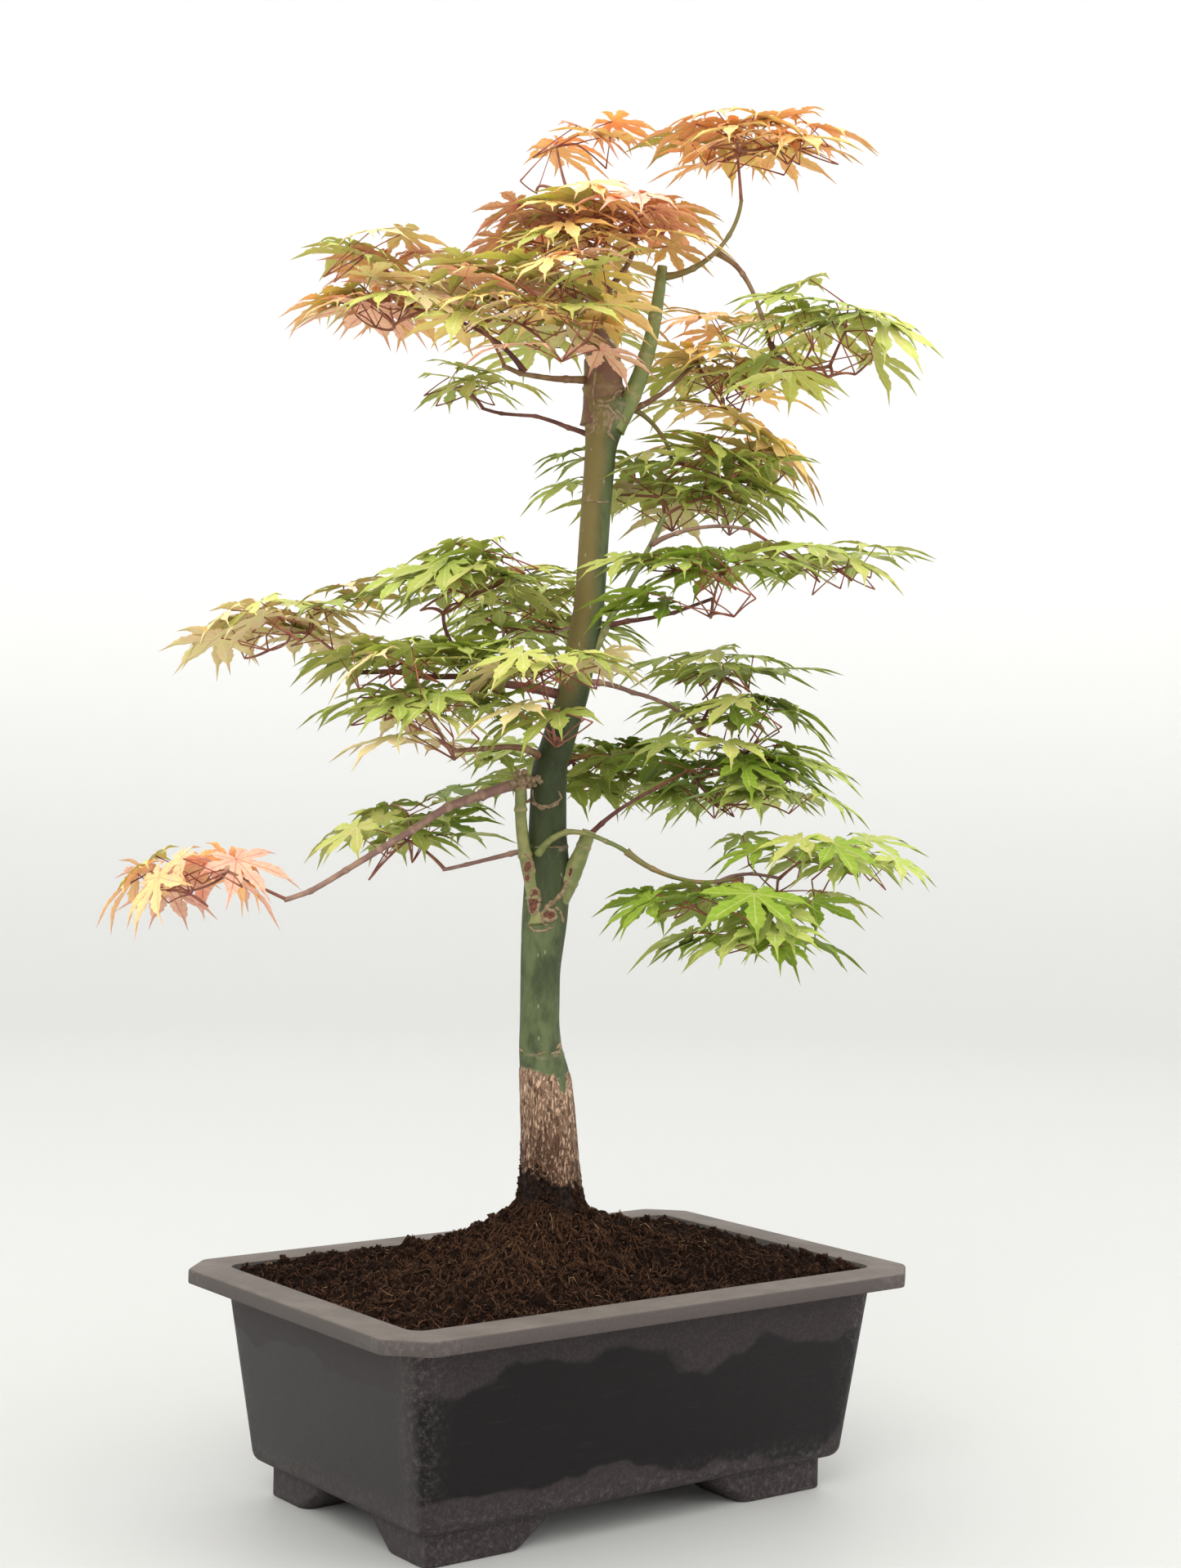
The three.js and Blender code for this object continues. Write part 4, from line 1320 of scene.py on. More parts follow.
            heap.add(tube_points(np.column_stack([path, up]), radius, 3) * MM + POT_MIDDLE, faces)
        return heap.piece(name, finish.build(), turned=False)

    def build(self) -> list[Piece]:
        """Make the compost's pieces and put them in the soil node's place.

        Returns:
            The pieces.
        """
        pieces = [
            self.ground(),
            self.crumb_piece(),
            self.fibre_piece("coir_dark", COIR[0], self.fibres // 2, (3, 11), 0.36, 0.0, 11),
            self.fibre_piece("coir_red", COIR[1], self.fibres // 2, (3, 13), 0.3, 0.75, 12),
            self.fibre_piece("straws", COIR[2], self.straws, (5, 20), 0.22, 0.5, 13),
        ]
        for piece in pieces:
            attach(piece, "root")
        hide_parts("soil")
        return pieces


# Trunk and boughs


@dataclass(frozen=True)
class LimbPlan:
    """One leader or bough, as the solids have it.

    Attributes:
        start: Its first place as right, front, up in millimetres.
        end: Its last place.
        climb: How steeply it leaves and arrives, in degrees above level.
        wide: Its thickness there.
        bark: Its kind of bark.
    """

    start: Triple
    end: Triple
    climb: Pair
    wide: Pair
    bark: Bark

    def control(self) -> Array:
        """The four control points of its curve on the unturned tree.

        Returns:
            The points in their order.
        """
        first, last = place(self.start), place(self.end)
        chord = last - first
        reach = 0.36 * np.linalg.norm(chord)
        level = np.array([chord[0], chord[1], 0.0])
        level /= np.linalg.norm(level)

        def handle(degrees: float) -> Array:
            """A handle that climbs by an angle."""
            angle = math.radians(degrees)
            return reach * (level * math.cos(angle) + np.array([0, 0, math.sin(angle)]))

        return np.array([first, first + handle(self.climb[0]), last - handle(self.climb[1]), last])

    def path(self, step: float) -> Array:
        """Evenly spaced places along the curve, about a step apart.

        Args:
            step: The step in millimetres.

        Returns:
            Rows of places.
        """
        control = self.control()
        t = np.linspace(0, 1, 200)[:, None]
        curve = (1 - t) ** 3 * control[0] + 3 * (1 - t) ** 2 * t * control[1]
        curve = curve + 3 * (1 - t) * t**2 * control[2] + t**3 * control[3]
        length = running(curve)
        count = max(6, round(length[-1] / step) + 1)
        at = np.linspace(0, length[-1], count)
        return np.stack([np.interp(at, length, curve[:, axis]) for axis in range(3)], axis=-1)


LIMBS: dict[str, LimbPlan] = {
    "leader_left": LimbPlan((14, 0, 516), (12, 0, 589), (88, 92), (17, 9.4), Bark.UMBER),
    "leader_right": LimbPlan((21, 2, 514), (43, 0, 593), (58, 84), (10.5, 5), Bark.GREEN),
    "left_shoot": LimbPlan((-9, 5, 276), (-20, 8, 332), (76, 88), (7.5, 5.2), Bark.GREEN),
    "left_arm": LimbPlan((-8, 4, 343), (-130, 30, 285), (-2, -22), (6.4, 3.4), Bark.MAUVE),
    "left_twig": LimbPlan((-8, -2, 312), (-58, -12, 299), (-10, -12), (3.4, 2.4), Bark.MAUVE),
    "left_front": LimbPlan((-7, 4, 352), (-50, 40, 357), (28, -4), (4.6, 2.8), Bark.BROWN),
    "left_long": LimbPlan((3, 2, 384), (-100, 24, 393), (12, -2), (5.4, 3), Bark.DARK),
    "left_riser": LimbPlan((-47, 15, 394), (-58, 22, 423), (70, 96), (3.2, 2.4), Bark.DARK),
    "crossing_arch": LimbPlan((-11, 4, 308), (32, 24, 310), (62, -38), (3.6, 3), Bark.GREEN),
    "crossing_reach": LimbPlan((31, 24, 311), (86, 36, 300), (-40, 10), (3, 2.4), Bark.OLIVE),
    "right_low_twig": LimbPlan((74, 33, 297), (104, 33, 300), (34, -4), (2.4, 2), Bark.MAUVE),
    "right_stub": LimbPlan((-3, 2, 286), (13, 4, 320), (54, 74), (9, 6.3), Bark.GREEN),
    "right_twig": LimbPlan((12, 3, 316), (45, 0, 341), (52, 30), (3, 2.2), Bark.DARK),
    "right_drop": LimbPlan((6, -1, 391), (66, -20, 368), (8, -44), (3.4, 2.4), Bark.MAUVE),
    "right_riser": LimbPlan((4, 3, 384), (47, -4, 474), (68, 66), (5.6, 3), Bark.GREEN),
    "right_branch": LimbPlan((41, 0, 459), (88, 8, 466), (34, -6), (2.8, 2.2), Bark.MAUVE),
    "right_sprig": LimbPlan((18, 3, 419), (70, 18, 432), (4, 16), (2.8, 2.2), Bark.DARK),
    "upper_left_low": LimbPlan((14, 0, 508), (-44, -22, 526), (36, 18), (3, 2.2), Bark.DARK),
    "upper_left": LimbPlan((13, 1, 539), (-32, 28, 539), (-18, 6), (4.6, 3), Bark.BROWN),
    "upper_left_rise": LimbPlan((-22, 22, 537), (-68, 38, 562), (58, 8), (2.8, 2.2), Bark.DARK),
    "upper_right_back": LimbPlan((20, -2, 520), (62, -22, 551), (18, 44), (4, 2.6), Bark.BROWN),
    "upper_right_fall": LimbPlan((19, -2, 524), (50, -24, 502), (22, -84), (3.6, 2.6), Bark.OLIVE),
    "crown_left": LimbPlan((12, -1, 570), (-2, -6, 626), (158, 82), (3, 2.2), Bark.BROWN),
    "crown_middle": LimbPlan((12, 1, 578), (30, 4, 606), (28, 84), (4.4, 3), Bark.BROWN),
    "crown_right": LimbPlan((42, 0, 588), (80, 8, 624), (2, 86), (3.8, 2.6), Bark.OLIVE),
    "right_fall": LimbPlan((71, 5, 599), (96, 12, 551), (-34, -72), (3, 2.6), Bark.BROWN),
    "right_reach": LimbPlan((95, 12, 555), (124, 18, 544), (-66, 22), (2.6, 2.2), Bark.DARK),
}


@dataclass
class Trunk:
    """The trunk from the compost to the fork, with the relief of its bark.

    Attributes:
        rows: Its height, how far right its middle lies, and its width, in millimetres.
        rings: The heights of the ring scars, with how proud each stands.
        sides: How many points go round it.
        step: How far apart its rings of points are.
    """

    rows: tuple[Triple, ...] = (
        (128, -2, 35), (133.3, -2, 32.6), (140, -2, 29.8), (150, -2.2, 28.4), (175, -3.6, 26.4),
        (195, -5.2, 25.2), (205, -6.4, 23.6), (214, -8.4, 20.8), (226, -9, 19), (252, -9.2, 19.2),
        (275, -7.7, 22), (296, -6.5, 22.6), (318, -7, 18.4), (349, -7, 17), (386, 4, 15.8),
        (429, 11, 14.6), (471, 13, 14.4), (505, 15, 15), (517, 17, 20), (527, 17.5, 22),
    )
    rings: tuple[Pair, ...] = ((211.5, 0.2), (311.5, 0.25), (479.5, 0.3), (452, 0.15))
    sides: int = 200
    step: float = 1.3

    def across(self, up: Array) -> tuple[Array, Array]:
        """The trunk's middle and radius at each height, eased over a few millimetres.

        Args:
            up: The heights.

        Returns:
            How far right the middle lies, and the radius.
        """
        rows = np.array(self.rows)
        spread = np.linspace(-4, 4, 9)
        right = np.mean([np.interp(up + s, rows[:, 0], rows[:, 1]) for s in spread], axis=0)
        wide = np.mean([np.interp(up + s, rows[:, 0], rows[:, 2]) for s in spread], axis=0)
        return right, wide / 2

    def build(self) -> Piece:
        """Make the trunk's mesh with its cracks, plates, scars and zones.

        Returns:
            The trunk.
        """
        rough_part = np.arange(128.5, 208, 0.62 * self.step)
        up = np.concatenate([rough_part, np.arange(208, 527.5, self.step), [528.6, 529.6]])
        angle = 2 * np.pi * np.arange(self.sides) / self.sides
        z, a = np.meshgrid(up, angle, indexing="ij")
        right, radius = self.across(up)
        radius[-2:] *= (0.86, 0.6)
        # five low root toes fade out at a height of 165 mm
        fade = np.clip((165 - up) / 32, 0, 1)[:, None]
        toes = 1 + 0.08 * fade * np.sin(5 * a + 1)
        wrap = np.stack([radius[:, None] * np.cos(a), radius[:, None] * np.sin(a), z], axis=-1)
        front_right = np.exp(-(((a - math.radians(313)) / 0.2) ** 4))
        # the rough bark ends in a ragged lip
        lip = 204.5 + 4 * (rough(wrap / (7, 7, 9), 3, 2) - 0.5) + 3 * (rough(wrap / 1.7, 2, 5) - 0.5)
        lip -= 2 * np.clip(np.cos(a - math.radians(330)), 0, 1)
        bark = 1 - smooth(-0.6, 0.6, z - lip + 9 * front_right)
        # fine upright ridges about 1 mm apart, waving and breaking every few millimetres
        wave = 1.1 * (rough(wrap / (4, 4, 5), 2, 15) - 0.5)[..., None] * np.array([1, 1, 0])
        fibres_of = rough((wrap + 2 * wave) / (1.05, 1.05, 4.2), 2, 21)
        crack = 0.8 * (1 - smooth(0.36, 0.46, fibres_of))
        plates = rough(wrap / (3.6, 3.6, 5.0), 2, 31)
        crack = crack * smooth(0.28, 0.5, plates + 0.55 * smooth(200, 178, z) - 0.1)
        fleck = rough(wrap / (2.2, 2.2, 1.6), 3, 41)
        # broken ring scars, and a crust where the leaders leave
        scar = np.zeros_like(z)
        for level, proud in self.rings:
            drift = z - level - 3.4 * (rough(wrap / 7, 2, int(level)) - 0.5)
            patch = smooth(0.5, 0.6, rough(wrap / (5, 5, 3), 2, int(level) + 7))
            band = np.exp(-((drift / (0.7 + 1.3 * proud * fleck)) ** 2)) * patch
            scar = np.maximum(scar, band * min(1.0, proud * 2.4))
        crust = np.exp(-(((z - 523 - 6 * np.sin(a + 0.6)) / 4.5) ** 2)) * smooth(0.5, 0.6, fleck)
        scar = np.maximum(scar, 0.35 * crust)
        # compost clings to the bark up to a wavering height
        stain = 152 - 5 * np.cos(a) + 14 * (rough(wrap / (2.6, 2.6, 4), 3, 51) - 0.5)
        splashed = 0.8 * (1 - smooth(-10, 22, z - stain)) * smooth(0.5, 0.6, fleck)
        soil = np.maximum(1 - smooth(-1.5, 1.5, z - stain), splashed)
        # the left side of the upper trunk is olive brown, the right side green
        leftward = -np.cos(a - 0.35) + 0.7 * (rough(wrap / 16, 2, 61) - 0.5)
        brown = smooth(-0.45, 0.5, leftward) * smooth(365, 405, z)
        # how far each zone stands out, in millimetres
        deep = bark * (0.45 - 0.6 * crack + 0.5 * (plates - 0.5))
        proud = deep + 0.9 * scar * (0.5 + fleck) + 0.16 * (rough(wrap / (3, 3, 14), 2, 71) - 0.5)
        proud = proud + soil * bark * 2.2 * (rough(wrap / 2.0, 3, 81) - 0.3)
        reach = radius[:, None] * toes + proud
        points = np.stack([right[:, None] + reach * np.cos(a), reach * np.sin(a), z], axis=-1)
        zones = {"bark": bark, "crack": np.maximum(crack * bark, 0.75 * crust), "scar": scar, "soil": soil}
        zones = {name: zone.ravel() for name, zone in {**zones, "brown": brown}.items()}
        heap = Heap()
        heap.add(points.reshape(-1, 3), tube_faces(self.sides, len(up)), **zones)
        piece = heap.piece("trunk_bark_relief", TrunkBark("maple_trunk_bark", 0.62, 0.28).build())
        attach(piece, "root")
        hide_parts("trunk")
        return piece


@dataclass
class Boughs:
    """The leaders and boughs as round limbs with collars, joints and fine bark relief.

    Attributes:
        sides: How many points go round a limb.
        step: How far apart its rings of points are, in millimetres.
        joint: How far apart its joints are.
        swollen: The shoots with a foot that has run together with the trunk.
        arched: The limb that leaves the trunk's front.
        shouldered: The leader with a shoulder in the fork, left by an old stub.
        onward: How far the left shoot runs on into the knot above it.
        stoutest: How thick the thickest limbs are that have a twig's thin bark.
    """

    sides: int = 16
    step: float = 1.1
    joint: float = 21.0
    swollen: tuple[str, ...] = ("left_shoot", "right_stub")
    arched: str = "crossing_arch"
    shouldered: str = "leader_left"
    onward: float = 9.0
    stoutest: float = 8.0

    def rooted(self, name: str, path: Array) -> Array:
        """Lead a limb's path back to the middle of the limb that carries it, if one does.

        Args:
            name: The limb's name.
            path: Its path.

        Returns:
            The path, or a longer one.
        """
        others = np.concatenate([plan.path(1.0) for other, plan in LIMBS.items() if other != name])
        gaps = np.linalg.norm(others - path[0], axis=1)
        near = others[gaps.argmin()]
        if not 0.8 < gaps.min() < 6 or abs(path[0, 0] - Trunk().across(path[:1, 2])[0][0]) < 12:
            return path
        lead = near + (path[0] - near) * np.arange(0, 1, self.step / gaps.min())[:, None]
        return np.vstack([lead, path])

    def limb(self, name: str, plan: LimbPlan, seed: int) -> Piece:
        """One limb with a collar at its foot and a swollen ring at each joint.

        Args:
            name: The limb's name.
            plan: Its plan.
            seed: The seed of its joints and grain.

        Returns:
            Its bark.
        """
        path = self.rooted(name, plan.path(self.step))
        if name == "left_shoot":
            ahead = (path[-1] - path[-2]) / np.linalg.norm(path[-1] - path[-2])
            path = np.vstack([path, path[-1] + ahead * np.arange(self.step, self.onward, self.step)[:, None]])
        count = len(path)
        along = running(path)
        share = along / along[-1]
        radius = between(plan.wide, share**0.8) / 2
        draw = np.random.default_rng(seed)
        stout = plan.wide[0] > self.stoutest
        if not stout and name not in self.swollen:
            radius *= 0.98 - 0.26 * smooth(0.0, 0.6, share)
        # one limb bows out in front of the trunk, and the others start at its middle
        if name == self.arched:
            path[:, 1] -= 5.5 * np.exp(-(((path[:, 0] + 6) / 9) ** 2))
        elif not stout and name not in self.swollen and abs(path[0, 1]) < 6:
            path[:, 1] *= smooth(0.0, 14.0, along)
        if name == self.shouldered:
            shoulder = 2.3 * smooth(2.0, 14.0, along) * (1 - smooth(32.0, 40.0, along))
            radius += shoulder
            path[:, 0] += shoulder
        if name in self.swollen:
            radius *= 1 + 0.42 * np.exp(-((along / 22) ** 2))
        first, apart = self.joint * draw.uniform(0.5, 0.9), self.joint * draw.uniform(0.8, 1.2)
        marks = np.arange(first, along[-1] - 4, apart)
        ring = np.zeros(count)
        for mark in marks:
            ring = np.maximum(ring, np.exp(-(((along - mark) / 0.9) ** 2)))
        kinks = np.concatenate([[0], draw.normal(0, 0.7, len(marks)), [0]])
        kink = np.interp(along, np.concatenate([[0], marks, [along[-1]]]), kinks)
        path = path + kink[:, None] * np.array([0.3, -0.2, 1.0]) * (0.3 if stout else 1.0)
        # joints swell, and a collar swells at the foot, less so on stout limbs
        swell = 1 + (0.08 if stout else 0.22) * ring + (0.12 if stout else 0.4) * np.exp(-along / 3.0)
        points = tube_points(path, radius * swell, self.sides).reshape(count, self.sides, 3)
        middle = points.mean(axis=1, keepdims=True)
        out = points - middle
        length = np.linalg.norm(out, axis=-1, keepdims=True)
        grain = rough(points / 2.2, 2, seed) - 0.5
        depth = (0.5 if stout else 0.22) * grain + 0.3 * ring[:, None] * (noise(points / 1.2, seed + 3) - 0.3)
        points = middle + out * (1 + depth[..., None] / np.maximum(length, 0.4))
        heap = Heap()
        scar = np.repeat(ring[:, None], self.sides, axis=1) * smooth(0.3, 0.6, noise(points / 1.5, seed + 5))
        if stout or name in self.swollen:
            tip = np.exp(-(((along[-1] - along) / 1.6) ** 2))[:, None]
            scar = np.maximum(scar, tip * np.ones_like(scar))
        heap.add(points.reshape(-1, 3), tube_faces(self.sides, count), scar=scar.ravel())
        piece = heap.piece(f"{name}_bark", plan.bark.value.build())
        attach(piece, "root")
        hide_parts(name)
        return piece

    def build(self) -> list[Piece]:
        """Make every limb."""
        return [self.limb(name, plan, 100 + i) for i, (name, plan) in enumerate(LIMBS.items())]


@dataclass(frozen=True)
class WoundPlan:
    """An oval wound with a rolled lip, where a shoot was cut away. Millimetres.

    Attributes:
        at: How far right its middle lies, and how high.
        size: Its width and height.
        lean: How far its top leans to the right, in degrees.
    """

    at: Pair
    size: Pair
    lean: float = 0.0


@dataclass(frozen=True)
class RidgePlan:
    """A lumpy ridge of callus along a line on the front of the bark. Millimetres.

    Attributes:
        line: The places it passes, as how far right and how high.
        thick: Its greatest thickness.
    """

    line: tuple[Pair, ...]
    thick: float = 1.3


WOUNDS = (
    WoundPlan((-16.0, 302.3), (3.4, 5.4), 8),
    WoundPlan((-16.0, 296.9), (2.6, 3.4), 0),
    WoundPlan((-12.5, 285.7), (4.6, 12.2), 6),
    WoundPlan((-5.4, 279.3), (6.2, 5.0), 0),
    WoundPlan((4.4, 299.6), (1.6, 4.8), 14),
)
RIDGES = (
    RidgePlan(
        ((-14.2, 339.5), (-14.4, 336.5), (-13.2, 332.4), (-8.5, 331), (-3.6, 332.3), (-0.6, 335.6),
         (-2.2, 339)), 1.1,
    ),
    RidgePlan(((-14.6, 333.2), (-10, 330.6), (-5.6, 331.4), (-2, 333.6)), 1.9),
    RidgePlan(((-7.4, 282.6), (-5, 284.2), (-1.1, 287.5), (1.7, 291.4), (2.6, 295.6)), 2.4),
    RidgePlan(((-2.4, 283.2), (-0.4, 281.6), (0.8, 278.6), (1.7, 275.6)), 1.5),
    RidgePlan(((-15.2, 274), (-11.9, 271.5), (-7.4, 271.7), (-2.8, 273.8)), 1.3),
    RidgePlan(((-9.4, 277.4), (-8.2, 275.2), (-5.4, 274.4)), 1.2),
    RidgePlan(((-13.2, 311.6), (-6, 311.8), (1.6, 311.9)), 0.6),
    RidgePlan(((-17.8, 308.4), (-15, 306.6), (-13.4, 304.2), (-12.4, 299)), 1.1),
    RidgePlan(((12.1, 542.8), (10.7, 530.6), (11.7, 523), (11.4, 512), (8.6, 510.3)), 1.1),
    RidgePlan(((12.9, 526.4), (16, 525.6), (20.1, 526.5), (21.1, 529.8), (24.4, 532.1), (27.6, 533.7)), 1.4),
    RidgePlan(((13, 523.8), (18, 523.7), (21.3, 519.9), (19.8, 516.6), (18.5, 511.1), (21.6, 507.3)), 1.5),
    RidgePlan(((21.5, 522), (23, 521), (25.8, 518.9), (26.4, 516.2)), 1.3),
    RidgePlan(((7.2, 478.1), (11, 478.6), (15, 477.8), (19.6, 478.4)), 0.8),
    RidgePlan(((-18.4, 213.8), (-16.6, 213.2)), 1.6),
    RidgePlan(((-9.6, 212.4), (-7.8, 212.9), (-5.8, 213.3)), 1.5),
    RidgePlan(((-3.0, 212.9), (-0.6, 213.1), (1.4, 213.0)), 1.3),
    RidgePlan(((-0.6, 214.6), (0.6, 216.0), (1.6, 217.6)), 1.6),
    RidgePlan(((0.4, 214.0), (1.2, 214.8), (1.7, 215.4)), 1.4),
)
# knots of callus above the left shoot: how far right each lies, how high, and its radius
LUMPS = (
    (-23.6, 341.6, 1.9), (-21.6, 346.2, 2.3), (-20.2, 343.2, 2.4), (-17.4, 344.4, 2.0),
    (-14.6, 343.6, 2.0), (-12.2, 344.6, 1.8), (-18.8, 347.6, 1.6), (-16.2, 341.4, 1.5),
    (-13.4, 341.4, 1.3), (-10.8, 343.0, 1.4), (-19.4, 340.2, 1.4),
)


@dataclass
class Scars:
    """Wounds, callus ridges and knots on the front of the trunk and its shoots. Millimetres.

    Attributes:
        grounds: The bark meshes that they lie on.
        lips: The callus so far.
        wood: The bared wood so far.
    """

    grounds: list[Piece]
    lips: Heap = field(default_factory=Heap)
    wood: Heap = field(default_factory=Heap)

    def __post_init__(self) -> None:
        """Make a search tree of each bark mesh."""
        self.trees = [
            BVHTree.FromPolygons([v.co for v in mesh.vertices], [tuple(f.vertices) for f in mesh.polygons])
            for mesh in (piece.data for piece in self.grounds)
        ]

    def front(self, right: float, up: float) -> Array | None:
        """The foremost place of the bark at a distance right and a height, if there is one.

        Args:
            right: The distance right.
            up: The height.

        Returns:
            The place, or nothing beside the bark.
        """
        start, ahead = on_tree(np.array([[right, -100.0, up], [right, 100.0, up]]))
        line = Vector(ahead - start).normalized()
        hits = [tree.ray_cast(Vector(start), line, 0.2) for tree in self.trees]
        reached = [hit[3] for hit in hits if hit[0] is not None]
        return np.array([right, -100.0 + min(reached) / MM, up]) if reached else None

    def ridge(self, line: Array, thick: float, seed: int) -> None:
        """Lay one lumpy ridge along places on the bark.

        Args:
            line: Rows of how far right and how high.
            thick: Its greatest thickness.
            seed: The seed of its lumps.
        """
        along = running(line)
        steps = np.linspace(0, along[-1], max(5, int(along[-1] / 0.55)))
        flat = np.column_stack([np.interp(steps, along, line[:, i]) for i in range(2)])
        stray = rough(np.column_stack([flat, np.full(len(flat), seed)]) / 1.6, 2, seed) - 0.5
        flat[:, 1] += 0.6 * thick * stray
        path = [self.front(right, up) for right, up in flat]
        path = np.array([spot for spot in path if spot is not None])
        if len(path) < 4:
            return
        radii = 0.5 * thick * (0.55 + 0.9 * noise(path / 1.1, seed + 1))
        radii[[0, -1]] *= 0.4
        shell = tube_points(path, radii, 8)
        shell += 0.22 * thick * (rough(shell / 0.9, 2, seed + 2)[:, None] - 0.5) * [1, 1, 1]
        self.lips.add(shell, tube_faces(8, len(path)))

    def wound(self, plan: WoundPlan, seed: int) -> None:
        """Lay one wound: its bared wood and the lip round it.

        Args:
            plan: The wound.
            seed: The seed of its chance.
        """
        lean = math.radians(plan.lean)
        turn = np.array([[math.cos(lean), -math.sin(lean)], [math.sin(lean), math.cos(lean)]])
        angle = np.linspace(0, 2 * math.pi, 33)
        oval = np.column_stack([plan.size[0] / 2 * np.cos(angle), plan.size[1] / 2 * np.sin(angle)]) @ turn
        self.ridge(oval * 1.05 + plan.at, 0.28 * plan.size[0] + 0.35, seed)
        middle = self.front(*plan.at)
        share = np.linspace(-0.98, 0.98, 15)
        path = np.column_stack([np.zeros(15), np.zeros(15), plan.size[1] / 2 * share])
        radii = plan.size[0] / 2 * np.sqrt(1 - share**2)
        face = tube_points(path, radii, 18)
        face[:, 1] *= 1.1 / plan.size[0]
        face[:, 1] += 0.25 * (noise(face * [1.6, 0, 0.25], seed) - 0.5)
        face[:, [0, 2]] = face[:, [0, 2]] @ turn
        self.wood.add(face + middle, tube_faces(18, 15))

    def knot(self, right: float, up: float, radius: float, seed: int) -> None:
        """Lay one knobbly knot half sunk in the bark.

        Args:
            right: How far right it lies.
            up: Its height.
            radius: Its radius.
            seed: The seed of its chance.
        """
        middle = self.front(right, up)
        middle = np.array([right, -7.0, up]) if middle is None else middle
        share = np.linspace(-0.97, 0.97, 11)
        path = np.column_stack([np.zeros(11), np.zeros(11), radius * share])
        ball = tube_points(path, radius * np.sqrt(1 - share**2), 14)
        ball *= 1 + 0.5 * (rough(ball / 1.3 + seed, 2, seed)[:, None] - 0.5)
        self.lips.add(ball + middle, tube_faces(14, 11))

    def build(self) -> list[Piece]:
        """Make the two joined pieces, and the dead snag on the left leader's top.

        Returns:
            The pieces.
        """
        for index, plan in enumerate(RIDGES):
            self.ridge(np.array(plan.line), plan.thick, 200 + 5 * index)
        for index, plan in enumerate(WOUNDS):
            self.wound(plan, 300 + 5 * index)
        for index, (right, up, radius) in enumerate(LUMPS):
            self.knot(right, up, radius, 400 + index)
        snag = Heap()
        rings, sides = 14, 12
        path = np.linspace((14.2, 0, 585), (17.5, 0, 618), rings)
        thinning = np.linspace(2.1, 1.5, rings)
        snag.add(tube_points(path, thinning, sides), tube_faces(sides, rings), scar=np.zeros(rings * sides))
        pieces = [
            self.lips.piece("callus_ridges", CALLUS.build()),
            self.wood.piece("wound_wood", HEARTWOOD.build()),
            snag.piece("dead_snag", Bark.MAUVE.value.build()),
        ]
        for piece in pieces:
            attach(piece, "root")
        return pieces


# Foliage


@dataclass(frozen=True)
class MassPlan:
    """One mass of leaves: its space, what carries it and its tints.

    Attributes:
        on: The limb that carries it.
        at: The middle of its space as right, front, up in millimetres.
        size: Half the size of its space.
        shoots: How many shoots it has.
        tints: Its tints with their shares.
        most: How many leaves it has at most.
        slope: How much its leaves rise to the right, as a share of the way.
        hang: How far its blades hang, in degrees more than the usual.
        start: Where its stem leaves the trunk or leader, if not at a limb's tip.
        roofs: The levels at which its leaves spread, as shares of half its height.
        crest: How far a blade rises above the place where its stalk meets it.
        luck: The seed of its sprigs and leaves.
    """

    on: str
    at: Triple
    size: Triple
    shoots: int
    tints: tuple[tuple[Tint, float], ...]
    most: int = 16
    slope: float = 0.0
    hang: float = 0.0
    start: Triple | None = None
    roofs: tuple[float, ...] = (-0.42, 0.3)
    crest: float = 6.0
    luck: int = 1

    def level(self, point: Array, share: float) -> float:
        """The height over a place of the roof at a share of half the mass's height."""
        return self.at[2] + self.slope * (point[0] - self.at[0]) + share * self.size[2] - self.crest

    def roof(self, point: Array) -> float:
        """The height of the lowest roof of leaves that is above a knot."""
        levels = [self.level(point, share) for share in sorted(self.roofs)]
        return next((level for level in levels if level > point[2] + 4), levels[-1])

    def holds(self, points: Array, room: float = 0.0) -> bool:
        """Whether points lie in its space, an oval pad that is flat below and domed on top.

        Args:
            points: One place, or rows of places.
            room: How far inside the space they have to lie.

        Returns:
            Whether all of them do.
        """
        offset = np.atleast_2d(points) - place(self.at)
        right, front, up = (half - room for half in self.size)
        share = (offset[:, 0] / right) ** 2 + (offset[:, 1] / front) ** 2
        return bool(np.all((share <= 1) & (offset[:, 2] >= -up) & (offset[:, 2] <= up * (1 - 0.4 * share))))

    def tint(self, share: float) -> Tint:
        """The tint at a share of the way through the list.

        Args:
            share: The share.

        Returns:
            The tint.
        """
        for tint, part in self.tints:
            share -= part
            if share <= 0:
                return tint
        return self.tints[0][0]


